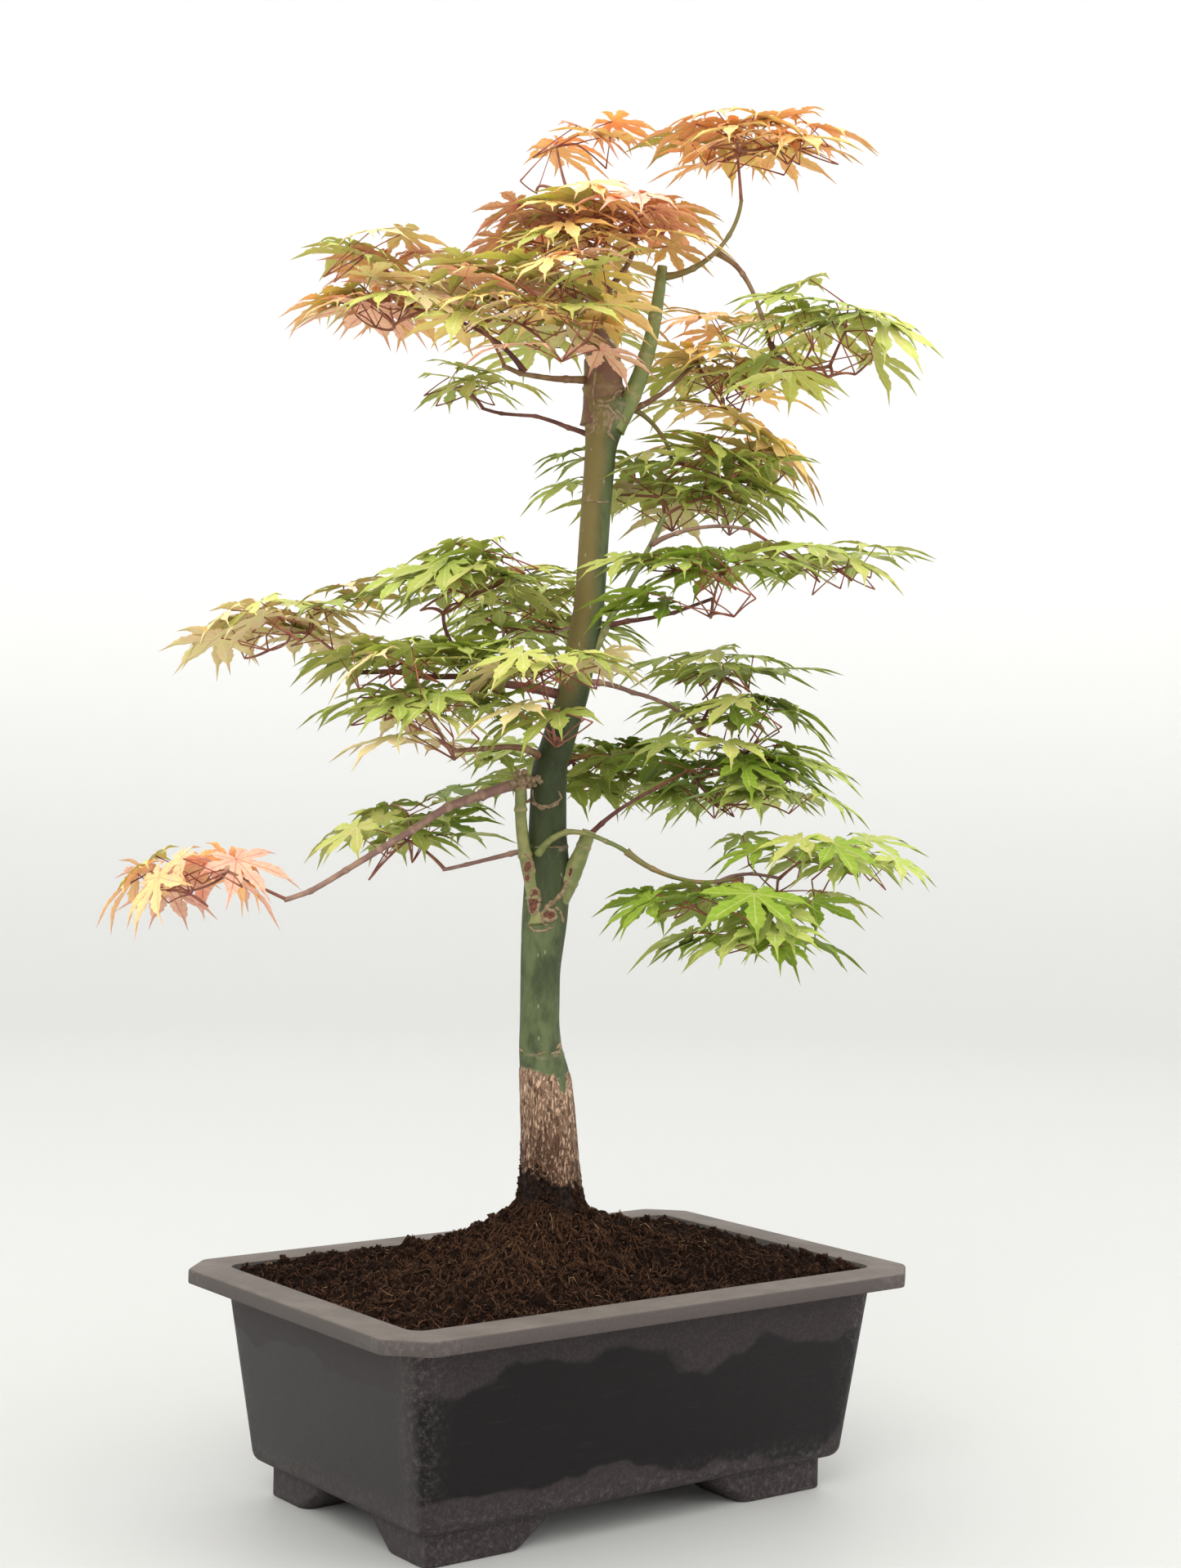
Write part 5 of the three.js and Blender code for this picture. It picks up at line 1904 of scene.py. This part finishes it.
DEEP, GREEN, LIME, TAN, GOLD, ORANGE, SALMON = Tint
MASSES: dict[str, MassPlan] = {
    "left_tip_leaves": MassPlan(
        "left_arm", (-176, 38, 293), (57, 50, 29), 4, ((SALMON, 0.6), (ORANGE, 0.3), (LIME, 0.1)),
        most=11, hang=36, roofs=(0.25, 0.55), luck=32,
    ),
    "left_back_leaves": MassPlan(
        "left_twig", (-84, -34, 321), (58, 52, 27), 4, ((GREEN, 0.6), (DEEP, 0.3), (LIME, 0.1)),
        most=13, slope=0.42, hang=4, roofs=(-0.55, 0.05, 0.55), luck=24,
    ),
    "left_front_leaves": MassPlan(
        "left_front", (-66, 56, 375), (58, 54, 36), 5, ((GREEN, 0.5), (LIME, 0.3), (TAN, 0.2)),
        most=33, slope=0.1, hang=6, roofs=(-0.35, 0.30, 0.95), luck=18,
    ),
    "front_leaves": MassPlan(
        "trunk", (-6, 66, 386), (48, 46, 30), 3, ((GREEN, 0.6), (LIME, 0.25), (TAN, 0.15)),
        most=18, hang=8, start=(-4, 0, 364), roofs=(-0.65, 0.05, 0.65), luck=30,
    ),
    "left_outer_leaves": MassPlan(
        "left_long", (-136, 22, 424), (62, 52, 33), 5, ((TAN, 0.5), (LIME, 0.35), (GREEN, 0.15)),
        most=18, slope=0.42, hang=2, roofs=(-0.20, 0.20), luck=19,
    ),
    "left_inner_leaves": MassPlan(
        "left_riser", (-52, 26, 456), (64, 50, 33), 4, ((GREEN, 0.5), (LIME, 0.35), (TAN, 0.15)),
        most=23, slope=0.28, roofs=(-1.10, -0.35), luck=14,
    ),
    "right_low_leaves": MassPlan(
        "crossing_reach", (80, 52, 275), (66, 52, 32), 4, ((DEEP, 0.7), (GREEN, 0.3)),
        most=19, hang=20, roofs=(0.25, 0.75), luck=15,
    ),
    "right_outer_leaves": MassPlan(
        "right_low_twig", (122, 28, 307), (58, 50, 24), 4, ((DEEP, 0.4), (GREEN, 0.4), (LIME, 0.2)),
        most=12, slope=-0.12, hang=6, roofs=(-0.25, 0.55), luck=19,
    ),
    "right_lower_leaves": MassPlan(
        "right_twig", (84, -26, 342), (68, 56, 28), 4, ((GREEN, 0.6), (DEEP, 0.2), (LIME, 0.2)),
        most=34, hang=6, roofs=(-0.65, 0.15, 0.65), luck=8,
    ),
    "right_middle_leaves": MassPlan(
        "right_drop", (80, -24, 387), (56, 54, 32), 5, ((GREEN, 0.6), (LIME, 0.2), (DEEP, 0.2)),
        most=24, hang=4, roofs=(-0.55, 0.05, 0.70), luck=16,
    ),
    "right_arm_leaves": MassPlan(
        "right_branch", (124, 2, 452), (60, 52, 28), 4, ((LIME, 0.5), (GREEN, 0.5)),
        most=13, roofs=(-0.15, 0.30), luck=18,
    ),
    "right_front_leaves": MassPlan(
        "right_sprig", (66, 44, 445), (60, 46, 28), 4, ((GREEN, 0.7), (DEEP, 0.3)),
        most=17, hang=4, roofs=(-0.45, 0.35), luck=4,
    ),
    "right_upper_leaves": MassPlan(
        "right_riser", (54, -26, 491), (74, 56, 26), 5, ((GREEN, 0.5), (LIME, 0.35), (TAN, 0.15)),
        most=34, slope=-0.05, hang=2, roofs=(-0.55, 0.15, 0.75), luck=19,
    ),
    "upper_outer_leaves": MassPlan(
        "upper_left_rise", (-88, 34, 590), (48, 50, 40), 5,
        ((TAN, 0.35), (ORANGE, 0.2), (SALMON, 0.2), (LIME, 0.25)),
        most=24, roofs=(-1.00, -0.35, 0.20), luck=15,
    ),
    "upper_front_leaves": MassPlan(
        "upper_left", (-20, 48, 564), (64, 46, 32), 4, ((TAN, 0.3), (SALMON, 0.25), (GOLD, 0.2), (LIME, 0.25)),
        most=36, slope=0.05, hang=2, roofs=(-0.55, 0.10, 0.65), luck=6,
    ),
    "upper_low_leaves": MassPlan(
        "upper_left_low", (-50, -34, 533), (42, 46, 26), 3, ((LIME, 0.7), (GREEN, 0.3)),
        most=6, slope=0.1, hang=4, roofs=(-0.25, 0.55), luck=4,
    ),
    "upper_middle_leaves": MassPlan(
        "crown_middle", (14, 14, 614), (62, 50, 30), 5,
        ((ORANGE, 0.3), (GOLD, 0.3), (LIME, 0.2), (SALMON, 0.2)),
        most=42, roofs=(-0.85, -0.25, 0.25), luck=20,
    ),
    "crown_left_leaves": MassPlan(
        "crown_left", (-8, -8, 654), (46, 46, 28), 4, ((ORANGE, 0.6), (SALMON, 0.25), (GOLD, 0.15)),
        most=6, roofs=(-0.65, 0.40), luck=8,
    ),
    "crown_right_leaves": MassPlan(
        "crown_right", (84, 8, 647), (60, 54, 30), 5, ((ORANGE, 0.6), (GOLD, 0.2), (SALMON, 0.1), (LIME, 0.1)),
        most=24, hang=2, roofs=(-0.75, -0.05, 0.45), luck=5,
    ),
    "right_reach_leaves": MassPlan(
        "right_reach", (122, 24, 562), (52, 48, 36), 4, ((LIME, 0.7), (GREEN, 0.3)),
        most=18, slope=-0.15, hang=12, roofs=(-0.35, 0.30, 0.65), luck=7,
    ),
    "upper_back_leaves": MassPlan(
        "upper_right_back", (80, -46, 558), (50, 50, 32), 4, ((GOLD, 0.35), (LIME, 0.5), (ORANGE, 0.15)),
        most=34, hang=2, roofs=(-0.55, 0.05, 0.75), luck=28,
    ),
    "right_fall_leaves": MassPlan(
        "upper_right_fall", (84, -42, 514), (48, 48, 26), 3, ((GOLD, 0.4), (ORANGE, 0.3), (LIME, 0.3)),
        most=16, slope=-0.3, hang=6, roofs=(-0.65, 0.25), luck=11,
    ),
    "back_low_leaves": MassPlan(
        "trunk", (6, -82, 358), (62, 54, 30), 4, ((GREEN, 0.7), (DEEP, 0.3)),
        most=24, hang=4, start=(-7, 0, 352), roofs=(-0.95, -0.25, 0.25), luck=10,
    ),
    "back_middle_leaves": MassPlan(
        "trunk", (-22, -72, 438), (64, 52, 30), 4, ((GREEN, 0.6), (LIME, 0.4)),
        most=24, hang=4, start=(9, 0, 420), roofs=(-0.85, -0.25, 0.25), luck=17,
    ),
    "back_upper_leaves": MassPlan(
        "leader_left", (-10, -68, 592), (62, 50, 34), 5, ((LIME, 0.4), (GOLD, 0.35), (ORANGE, 0.25)),
        most=32, hang=2, start=(12, 0, 556), roofs=(-1.15, -0.45, 0.15), luck=22,
    ),
}


@dataclass(frozen=True)
class LeafPattern:
    """A palmate leaf of seven toothed lobes, with its middle lobe along X and a reach of 1.

    Attributes:
        angles: Where its lobes point, in degrees.
        reaches: How long each lobe is.
        heel: Where the two outer edges meet the stalk, in degrees and as a reach.
        sinus: How far out the cuts between the lobes start.
        width: Half a lobe's width at its widest.
        edge: The lobe's edge as shares of its length and of its half width, tooth by tooth.
    """

    angles: tuple[float, ...] = (-128, -84, -41, 0, 41, 84, 128)
    reaches: tuple[float, ...] = (0.4, 0.74, 0.95, 1.0, 0.95, 0.74, 0.4)
    heel: Pair = (156, 0.12)
    sinus: float = 0.25
    width: float = 0.125
    edge: tuple[Pair, ...] = (
        (0.14, 0.62), (0.33, 1.04), (0.38, 0.86), (0.49, 0.96), (0.54, 0.72), (0.65, 0.52), (0.71, 0.2),
    )

    def faces(self) -> list[list[int]]:
        """Three faces for each half of a lobe, all facing up.

        Returns:
            The faces as lists of vertex numbers.
        """
        faces = []
        teeth = len(self.edge)
        for lobe in range(len(self.angles)):
            first = 2 + len(self.angles) + (2 * teeth + 3) * lobe
            mid, far, tip = (first + 2 * teeth + i for i in range(3))
            for side, notch in ((0, 1 + lobe), (1, 2 + lobe)):
                e = [first + side * teeth + i for i in range(teeth)]
                parts = [[0, notch, *e[:2], mid], [mid, *e[1:4], far], [far, *e[3:], tip]]
                faces.extend(part if side == 0 else part[::-1] for part in parts)
        return faces

    def shape(self, draw: Draw) -> tuple[Array, Array]:
        """One leaf with its own chance turns, folds and droop.

        Args:
            draw: The source of chance.

        Returns:
            Its points, and for each of them the share across and along its lobe.
        """
        angles = np.radians(np.array(self.angles) + draw.normal(0, 3.5, 7))
        reaches = np.array(self.reaches) * draw.uniform(0.88, 1.06, 7)
        fall = draw.uniform(0.02, 0.22, 7)
        fold = draw.uniform(0.12, 0.38)
        heel_angle, heel_reach = math.radians(self.heel[0]), self.heel[1]
        notch_angle = np.concatenate([[-heel_angle], (angles[1:] + angles[:-1]) / 2, [heel_angle]])
        shorter = np.minimum(reaches[1:], reaches[:-1])
        notch_reach = np.concatenate([[heel_reach], self.sinus * (0.35 + 0.65 * shorter), [heel_reach]])
        points = [[0.0, 0.0, 0.0]]
        marks = [[0.0, 0.0]]
        for angle, reach in zip(notch_angle, notch_reach):
            points.append([reach * math.cos(angle), reach * math.sin(angle), 0.02])
            marks.append([1.0, reach])
        for lobe, (angle, reach, drop) in enumerate(zip(angles, reaches, fall)):
            start = 0.9 * (notch_reach[lobe] + notch_reach[lobe + 1]) / 2
            ahead = np.array([math.cos(angle), math.sin(angle), 0.0])
            aside = np.array([math.sin(angle), -math.cos(angle), 0.0])
            bend = draw.normal(0, 0.05)

            def spot(share: float, out: float) -> Array:
                """A place on the lobe, with its droop, curl and fold.

                Args:
                    share: How far along the lobe.
                    out: How far out from its rib.

                Returns:
                    The place.
                """
                far = start + (reach - start) * share
                low = -drop * far**1.9 - 0.9 * max(0.0, share - 0.72) ** 2
                return far * ahead + (out + bend * share**2) * aside + [0, 0, low + fold * abs(out)]

            half = self.width * (0.45 + 0.55 * reach)
            for side in (1, -1):
                for share, wide in self.edge:
                    points.append(spot(share, side * half * wide * draw.uniform(0.92, 1.08)))
                    marks.append([1.0, start + (reach - start) * share])
            for share in (0.36, 0.55, 1.0):
                points.append(spot(share, 0.0))
                marks.append([0.0, start + (reach - start) * share])
        return np.array(points, float), np.array(marks, float)


@dataclass
class Twig:
    """One twig of a mass.

    Attributes:
        path: Rows of its middles.
        radii: Its radius at each of them.
        parent: The number of the twig that it leaves, or -1 at the mass's stem.
        knots: The numbers of the knots of leaves on it.
    """

    path: Array
    radii: Array
    parent: int
    knots: list[int]


@dataclass
class Foliage:
    """The masses of leaves, grown on from the limbs by the solids' own rule. Millimetres.

    Attributes:
        stems: Middles and radii of the trunk and limbs, which leaves keep clear of.
        middles: The middles of the leaves so far.
        pattern: The leaf.
        kinds: How many leaf shapes there are.
        leaf_reach: The shortest and longest leaf.
        stalk_reach: The shortest and longest leaf stalk.
        stalk_radii: A stalk's radii from its foot to the blade.
        stalk_climb: How steeply a stalk rises, in degrees.
        droop: How far a blade tips, in degrees.
        sprigs: How many finer sprigs leave each knot.
    """

    stems: Array
    middles: list[Array] = field(default_factory=list)
    pattern: LeafPattern = field(default_factory=LeafPattern)
    kinds: int = 24
    leaf_reach: Pair = (31.0, 42.0)
    stalk_reach: Pair = (18.0, 36.0)
    stalk_radii: tuple[float, ...] = (0.46, 0.33, 0.29, 0.29, 0.36)
    stalk_climb: Pair = (0.0, 62.0)
    droop: Pair = (-7.0, 20.0)
    sprigs: int = 3

    def __post_init__(self) -> None:
        """Draw the leaf shapes that all the masses share."""
        draw = np.random.default_rng(7)
        self.shapes = [self.pattern.shape(draw) for _ in range(self.kinds)]
        self.faces = self.pattern.faces()

    def clear(self, points: Array, room: float) -> bool:
        """Whether points keep a distance from the trunk and limbs."""
        gaps = np.linalg.norm(points[:, None, :] - self.stems[None, :, :3], axis=-1) - self.stems[None, :, 3]
        return bool(gaps.min() > room)

    def stem_start(self, plan: MassPlan) -> Array:
        """Where a mass's stem starts: at its limb's tip, or at the trunk's side.

        Args:
            plan: The mass.

        Returns:
            The place.
        """
        if plan.start is None:
            control = LIMBS[plan.on].control()
            forward = control[3] - control[2]
            return control[3] - forward / np.linalg.norm(forward)
        start = place(plan.start)
        level = (place(plan.at) - start) * (1, 1, 0)
        level /= np.linalg.norm(level)
        near = [start + level * reach for reach in np.arange(0, 30, 0.5)]
        inside = [point for point in near if not self.clear(point[None], -1.2)]
        return inside[-1] if inside else start

    @staticmethod
    def shoot_ends(plan: MassPlan, draw: Stream) -> list[Array]:
        """The ends of a mass's shoots, spread evenly over its space from the middle outwards.

        Args:
            plan: The mass.
            draw: The solids' own stream.

        Returns:
            The ends.
        """
        right, front, up = plan.size
        ends = []
        phase = draw.draw() * 2 * math.pi
        for i in range(plan.shoots):
            share = math.sqrt((i + 0.35) / plan.shoots)
            angle = phase + i * GOLDEN_ANGLE
            x = max(right - 34, 6) * share * math.cos(angle)
            y = max(front - 34, 6) * share * math.sin(angle)
            tier = plan.roofs[int(draw.draw() * len(plan.roofs))]
            z = max(up * tier - 14 + 4 * share, -0.88 * up) + plan.slope * x
            ends.append(place(plan.at) + [x, y, z])
        return ends

    def grow(self, plan: MassPlan, seed: int) -> tuple[list[Twig], list[Knot]]:
        """Grow a mass's twigs, from its main shoots out to its finest sprigs.

        Args:
            plan: The mass.
            seed: Its number, from 1.

        Returns:
            The twigs, and the knots that bear leaves as place, heading and leaf count.
        """
        draw = Stream(seed)
        start = self.stem_start(plan)
        ends = sorted(self.shoot_ends(plan, draw), key=lambda end: float(np.linalg.norm(end - start)))
        grown = [(start, 0, -1)]
        twigs: list[Twig] = []
        knots: list[Knot] = []
        fine = np.random.default_rng(1000 * plan.luck + seed)
        for end in ends:
            root, age, parent = min(grown, key=lambda knot: float(np.linalg.norm(knot[0] - end)) + 4 * knot[1])
            along = (end - root) / np.linalg.norm(end - root)
            aside = np.array([-along[1], along[0], 0.0])
            middle = (root + end) / 2 + aside * (4 * (2 * draw.draw() - 1)) + [0, 0, 3 * draw.draw() - 1]
            thick = max(1.0 - 0.15 * age, 0.7)
            heading = math.atan2(end[1] - start[1], end[0] - start[0])
            shoot = Twig(*self.bent(root, middle, end, thick, 0.5), parent, [len(knots)])
            knots.append((end, heading, 2))
            if np.linalg.norm(end - root) > 26:
                shoot.knots.append(len(knots))
                knots.append((middle, heading, 2))
            number = len(twigs)
            twigs.append(shoot)
            grown.append((end, age + 1, number))
            for index in range(self.sprigs):
                fanned = heading + (index - (self.sprigs - 1) / 2) * 1.25
                self.sprig(plan, end, fanned, fine, number, twigs, knots)
        return twigs, knots

    @staticmethod
    def bent(
        root: Array, middle: Array, end: Array, thick: float, tip: float
    ) -> tuple[Array, Array]:
        """Bend a twig through three places, swollen at its last knot.

        Args:
            root: Its first place.
            middle: The place halfway.
            end: Its last place.
            thick: Its radius at the root.
            tip: Its radius at the tip.

        Returns:
            Its middles and its radii.
        """
        path = bow(root, 2 * middle - (root + end) / 2, end, 9)
        radii = between((thick, tip), np.linspace(0, 1, 9))
        radii[-2] *= 1.25
        radii[-1] *= 0.95
        return path, radii

    def sprig(
        self,
        plan: MassPlan,
        root: Array,
        heading: float,
        draw: Draw,
        parent: int,
        twigs: list[Twig],
        knots: list[Knot],
    ) -> None:
        """Add one fine sprig that stays inside the mass's space, and its knot of leaves.

        Args:
            plan: The mass.
            root: The knot that it leaves.
            heading: Which way it is to go.
            draw: The source of chance.
            parent: The number of the shoot that bears it.
            twigs: The mass's twigs, to which it is added.
            knots: The mass's knots, to which its own is added.
        """
        for _ in range(8):
            turn = heading + draw.normal(0, 0.45)
            reach = draw.uniform(10, 25)
            target = plan.level(root, plan.roofs[int(draw.integers(len(plan.roofs)))]) - draw.uniform(5, 12)
            rise = min(max(target - root[2], -0.5 * reach), 0.7 * reach)
            climb = math.atan(plan.slope * math.cos(turn)) + math.atan2(rise, reach)
            level = math.cos(climb)
            end = root + reach * np.array([math.cos(turn) * level, math.sin(turn) * level, math.sin(climb)])
            if plan.holds(end, 6.0) and self.clear(end[None], 5.0):
                middle = (root + end) / 2 + [0, 0, draw.uniform(-1.0, 1.0)]
                twigs.append(Twig(*self.bent(root, middle, end, 0.44, 0.34), parent, [len(knots)]))
                knots.append((end, turn, 3))
                return

    def try_leaf(
        self, plan: MassPlan, root: Array, azimuth: float, draw: Draw, shrink: float
    ) -> tuple | None:
        """Try one leaf on a knot.

        Args:
            plan: The mass.
            root: The knot.
            azimuth: Which way its stalk leads.
            draw: The source of chance.
            shrink: How much smaller it has become by this try.

        Returns:
            The leaf's points, marks and stalk path, or nothing where it has no room.
        """
        reach = draw.uniform(*self.leaf_reach) * shrink
        stalk = draw.uniform(*self.stalk_reach)
        rise = plan.roof(root) - root[2] + draw.normal(0, 3.0)
        low, high = (math.sin(math.radians(a)) for a in self.stalk_climb)
        climb = math.asin(min(max(rise / stalk, low), high))
        outward = np.array([math.cos(azimuth), math.sin(azimuth), 0.0])
        middle = root + outward * stalk * math.cos(climb) + [0, 0, stalk * math.sin(climb)]
        offset = (middle - place(plan.at)) / plan.size
        rim = min(1.0, offset[0] ** 2 + offset[1] ** 2)
        below = max(0.0, -offset[2])
        tip = draw.uniform(*self.droop) + plan.hang * draw.uniform(0.3, 1.2) + 7 * rim + 9 * below
        tip = math.radians(tip) - math.atan(plan.slope * math.cos(azimuth))
        frame_of = (
            Matrix.Rotation(azimuth + draw.uniform(-0.5, 0.5), 3, "Z")
            @ Matrix.Rotation(tip, 3, "Y")
            @ Matrix.Rotation(draw.uniform(-0.3, 0.3), 3, "X")
        )
        shape, marks = self.shapes[int(draw.integers(self.kinds))]
        points = shape * reach @ np.array(frame_of).T + middle
        if not plan.holds(points, -7.0) or not plan.holds(middle, 2.0) or not self.clear(points[::4], 1.2):
            return None
        # leaves keep off each other: none lies close over or under another, or within 8 mm
        if self.middles:
            others = np.array(self.middles)
            gap = others[:, :3] - middle
            beside = np.hypot(gap[:, 0], gap[:, 1]) < 0.42 * (reach + others[:, 3]) / 2
            if np.any(beside & (np.abs(gap[:, 2]) < 4)) or np.any(np.linalg.norm(gap, axis=1) < 8):
                return None
        self.middles.append(np.array([*middle, reach]))
        arch = (root + middle) / 2 + outward * stalk * 0.05 + [0, 0, stalk * 0.08]
        return points, marks, bow(root, arch, middle, 5)

    def leaf_out(
        self, plan: MassPlan, knots: list[Knot], draw: Draw
    ) -> list[tuple[int, Array, Array, Array]]:
        """Set a mass's leaves on its knots, one each in turn, as far as they have room.

        Args:
            plan: The mass.
            knots: Its knots as place, heading and leaf count.
            draw: The source of chance.

        Returns:
            For each leaf the number of its knot, its points, their marks and its stalk's path.
        """
        leaves = []
        rounds = [(index, number) for index in range(3) for number in draw.permutation(len(knots))]
        for index, number in rounds:
            root, heading, most = knots[number]
            if index >= most:
                continue
            spread = (index + 0.5) / most - 0.5
            for attempt in range(26):
                if len(leaves) >= plan.most:
                    return leaves
                azimuth = heading + 0.86 * 2 * math.pi * spread + draw.normal(0, 0.25 + 0.12 * attempt)
                made = self.try_leaf(plan, root, azimuth, draw, 1 - 0.01 * attempt)
                if made is not None:
                    leaves.append((number, *made))
                    break
        return leaves

    def mass(self, name: str, plan: MassPlan, seed: int) -> int:
        """Grow one mass and make its pieces.

        Args:
            name: The mass's name.
            plan: Its plan.
            seed: Its number, from 1.

        Returns:
            How many leaves it has.
        """
        twigs, knots = self.grow(plan, seed)
        draw = np.random.default_rng(1000 * plan.luck + seed)
        leaves = self.leaf_out(plan, knots, draw)
        borne = {number for number, *_ in leaves}
        sprays = [plan.tint(draw.uniform()) for _ in knots]
        blades: dict[Tint, Heap] = {}
        stalks, wood = Heap(), Heap()
        for number, points, marks, path in leaves:
            tint = sprays[number] if draw.uniform() < 0.72 else plan.tint(draw.uniform())
            tone = np.full((len(points), 1), draw.uniform())
            blades.setdefault(tint, Heap()).add(points, self.faces, lobe=np.hstack([marks, tone]))
            stalks.add(tube_points(path, np.array(self.stalk_radii), 4), tube_faces(4, len(path)))
        kept: set[int] = set()
        for index, twig in enumerate(twigs):
            while index >= 0 and borne.intersection(twig.knots) and index not in kept:
                kept.add(index)
                index = twigs[index].parent
        for index in sorted(kept):
            twig = twigs[index]
            wood.add(tube_points(twig.path, twig.radii, 6), tube_faces(6, len(twig.path)))
        stem = name.removesuffix("_leaves")
        pieces = [(wood.piece(f"{stem}_twigs", TWIG_SKIN.build()), "bough_bark")]
        pieces.append((stalks.piece(f"{stem}_leaf_stalks", LEAF_STALK.build()), "bough_bark"))
        for tint, heap in blades.items():
            pieces.append((heap.piece(f"{stem}_leaves_{tint.name.lower()}", tint.value.build()), SLOTS[tint]))
        for piece, slot in pieces:
            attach(piece, "root")
            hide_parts(name)
        return len(leaves)

    def build(self) -> int:
        """Grow every mass in order; tells how many leaves there are."""
        return sum(self.mass(name, plan, i + 1) for i, (name, plan) in enumerate(MASSES.items()))


SLOTS = {
    DEEP: "leaves_green",
    GREEN: "leaves_green",
    LIME: "leaves_lime",
    TAN: "leaves_lime",
    GOLD: "leaves_gold",
    ORANGE: "leaves_orange",
    SALMON: "leaves_salmon",
}


def stem_samples(trunk: Trunk) -> Array:
    """Middles and radii along the trunk and every limb, in millimetres.

    Args:
        trunk: The trunk.

    Returns:
        Rows of x, y, z and radius.
    """
    up = np.arange(132.0, 530.0, 4.0)
    right, radius = trunk.across(up)
    rows = [np.column_stack([right, np.zeros_like(up), up, radius])]
    for plan in LIMBS.values():
        path = plan.path(4.0)
        share = np.linspace(0, 1, len(path))
        rows.append(np.column_stack([path, between(plan.wide, share**0.8) / 2]))
    return np.concatenate(rows)


# Stage


@dataclass
class Studio:
    """A pale studio floor that curves up all round, soft lights and the camera. Metres.

    Attributes:
        flat: How far out the floor is flat.
        sweep: The radius of the curve at its edge.
        wall: How high the wall goes.
        eye: The camera's place from the pot's middle.
        azimuth: Which way the camera looks, in degrees.
        elevation: How far it looks down.
        roll: How far it is turned.
        lens: Its focal length in millimetres on a sensor 36 mm high.
    """

    flat: float = 2.2
    sweep: float = 1.0
    wall: float = 2.6
    eye: Triple = (-0.7117, -0.9721, 0.3504)
    azimuth: float = -36.84
    elevation: float = 0.38
    roll: float = 1.15
    lens: float = 57.217

    def floor(self) -> Piece:
        """The floor as a disc whose edge is drawn out and up step by step.

        Returns:
            The floor.
        """
        bpy.ops.object.select_all(action="DESELECT")
        bpy.ops.mesh.primitive_circle_add(vertices=96, radius=self.flat, fill_type="NGON", location=(0, 0, 0))
        piece = bpy.context.object
        piece.name = "studio_floor"
        turns = np.linspace(0, math.pi / 2, 11)
        steps = [(self.flat + self.sweep * math.sin(a), self.sweep * (1 - math.cos(a))) for a in turns]
        steps.append((self.flat + self.sweep, self.wall))
        choose(piece, Part.EDGE, lambda e: True)
        for (near, low), (far, high) in zip(steps, steps[1:]):
            bpy.ops.mesh.extrude_edges_move(TRANSFORM_OT_translate={"value": (0, 0, high - low)})
            bpy.ops.transform.resize(value=(far / near, far / near, 1), center_override=(0, 0, high))
        done()
        bpy.ops.object.shade_smooth()
        piece.data.materials.append(StageFloor("pale_floor", 0.55, 0.3).build())
        return piece

    @staticmethod
    def lamp(name: str, at: Triple, aim: Triple, size: float, power: float) -> Piece:
        """Hang a square soft light and turn it to what it lights.

        Args:
            name: Its name.
            at: Its place.
            aim: The place that it lights.
            size: Its side.
            power: Its power in watts.

        Returns:
            The light.
        """
        data = bpy.data.lights.new(name, "AREA")
        data.size = size
        data.energy = power
        made = put(name, data)
        made.location = at
        made.rotation_euler = (Vector(aim) - Vector(at)).to_track_quat("-Z", "Y").to_euler()
        return made

    def camera(self) -> Piece:
        """The camera where the photograph was taken.

        Returns:
            The camera.
        """
        azimuth, elevation, roll = (math.radians(a) for a in (self.azimuth, self.elevation, self.roll))
        right = Vector((math.cos(azimuth), math.sin(azimuth), 0))
        level = math.cos(elevation)
        back = Vector((math.sin(azimuth) * level, -math.cos(azimuth) * level, math.sin(elevation)))
        up = back.cross(right)
        across = right * math.cos(roll) + up * math.sin(roll)
        rise = -right * math.sin(roll) + up * math.cos(roll)
        data = bpy.data.cameras.new("camera")
        data.lens = self.lens
        data.sensor_width = 36
        data.sensor_fit = "AUTO"
        data.clip_start = 0.05
        made = put("camera", data)
        turned = Matrix((across, rise, back)).transposed().to_4x4()
        turned.translation = Vector(self.eye) + Vector(POT_MIDDLE)
        made.matrix_world = turned
        bpy.context.scene.camera = made
        return made

    def build(self) -> None:
        """Set the floor, the lights, the world and the camera."""
        floor = self.floor()
        lights = [
            self.lamp("key", (-1.5, -1.2, 1.5), (0, 0, 0.4), 1.6, 22),
            self.lamp("top", (0.3, 0.5, 2.3), (0, 0, 0.3), 2.2, 2),
            self.lamp("fill", (1.3, -1.6, 0.6), (0, 0, 0.4), 1.4, 14),
        ]
        world = bpy.data.worlds.new("pale_world")
        world.use_nodes = True
        sky = next(n for n in world.node_tree.nodes if n.type == "BACKGROUND")
        sky.inputs["Color"].default_value = colour("#f8f8f8")
        sky.inputs["Strength"].default_value = 1.6
        bpy.context.scene.world = world
        bpy.context.scene.view_settings.view_transform = "Standard"
        self.camera()


def main() -> None:
    """Build the pot, the compost, the tree and the studio in order."""
    logging.basicConfig(level=logging.INFO, format="%(message)s")
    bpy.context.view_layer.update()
    pot = TrainingPot()
    log.info("pot: %s", pot.build().name)
    log.info("compost: %d pieces", len(CompostHeap(pot).build()))
    trunk = Trunk()
    bark = trunk.build()
    boughs = Boughs().build()
    log.info("trunk: %s, boughs: %d", bark.name, len(boughs))
    # the scars lie on the trunk and on these shoots
    scarred = ("left_shoot", "left_arm", "right_stub", "leader")
    shoots = [piece for piece in boughs if piece.name.startswith(scarred)]
    log.info("scars: %d pieces", len(Scars([bark, *shoots]).build()))
    log.info("leaves: %d", Foliage(stem_samples(trunk)).build())
    Studio().build()
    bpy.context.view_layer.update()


if __name__ == "__main__":
    main()
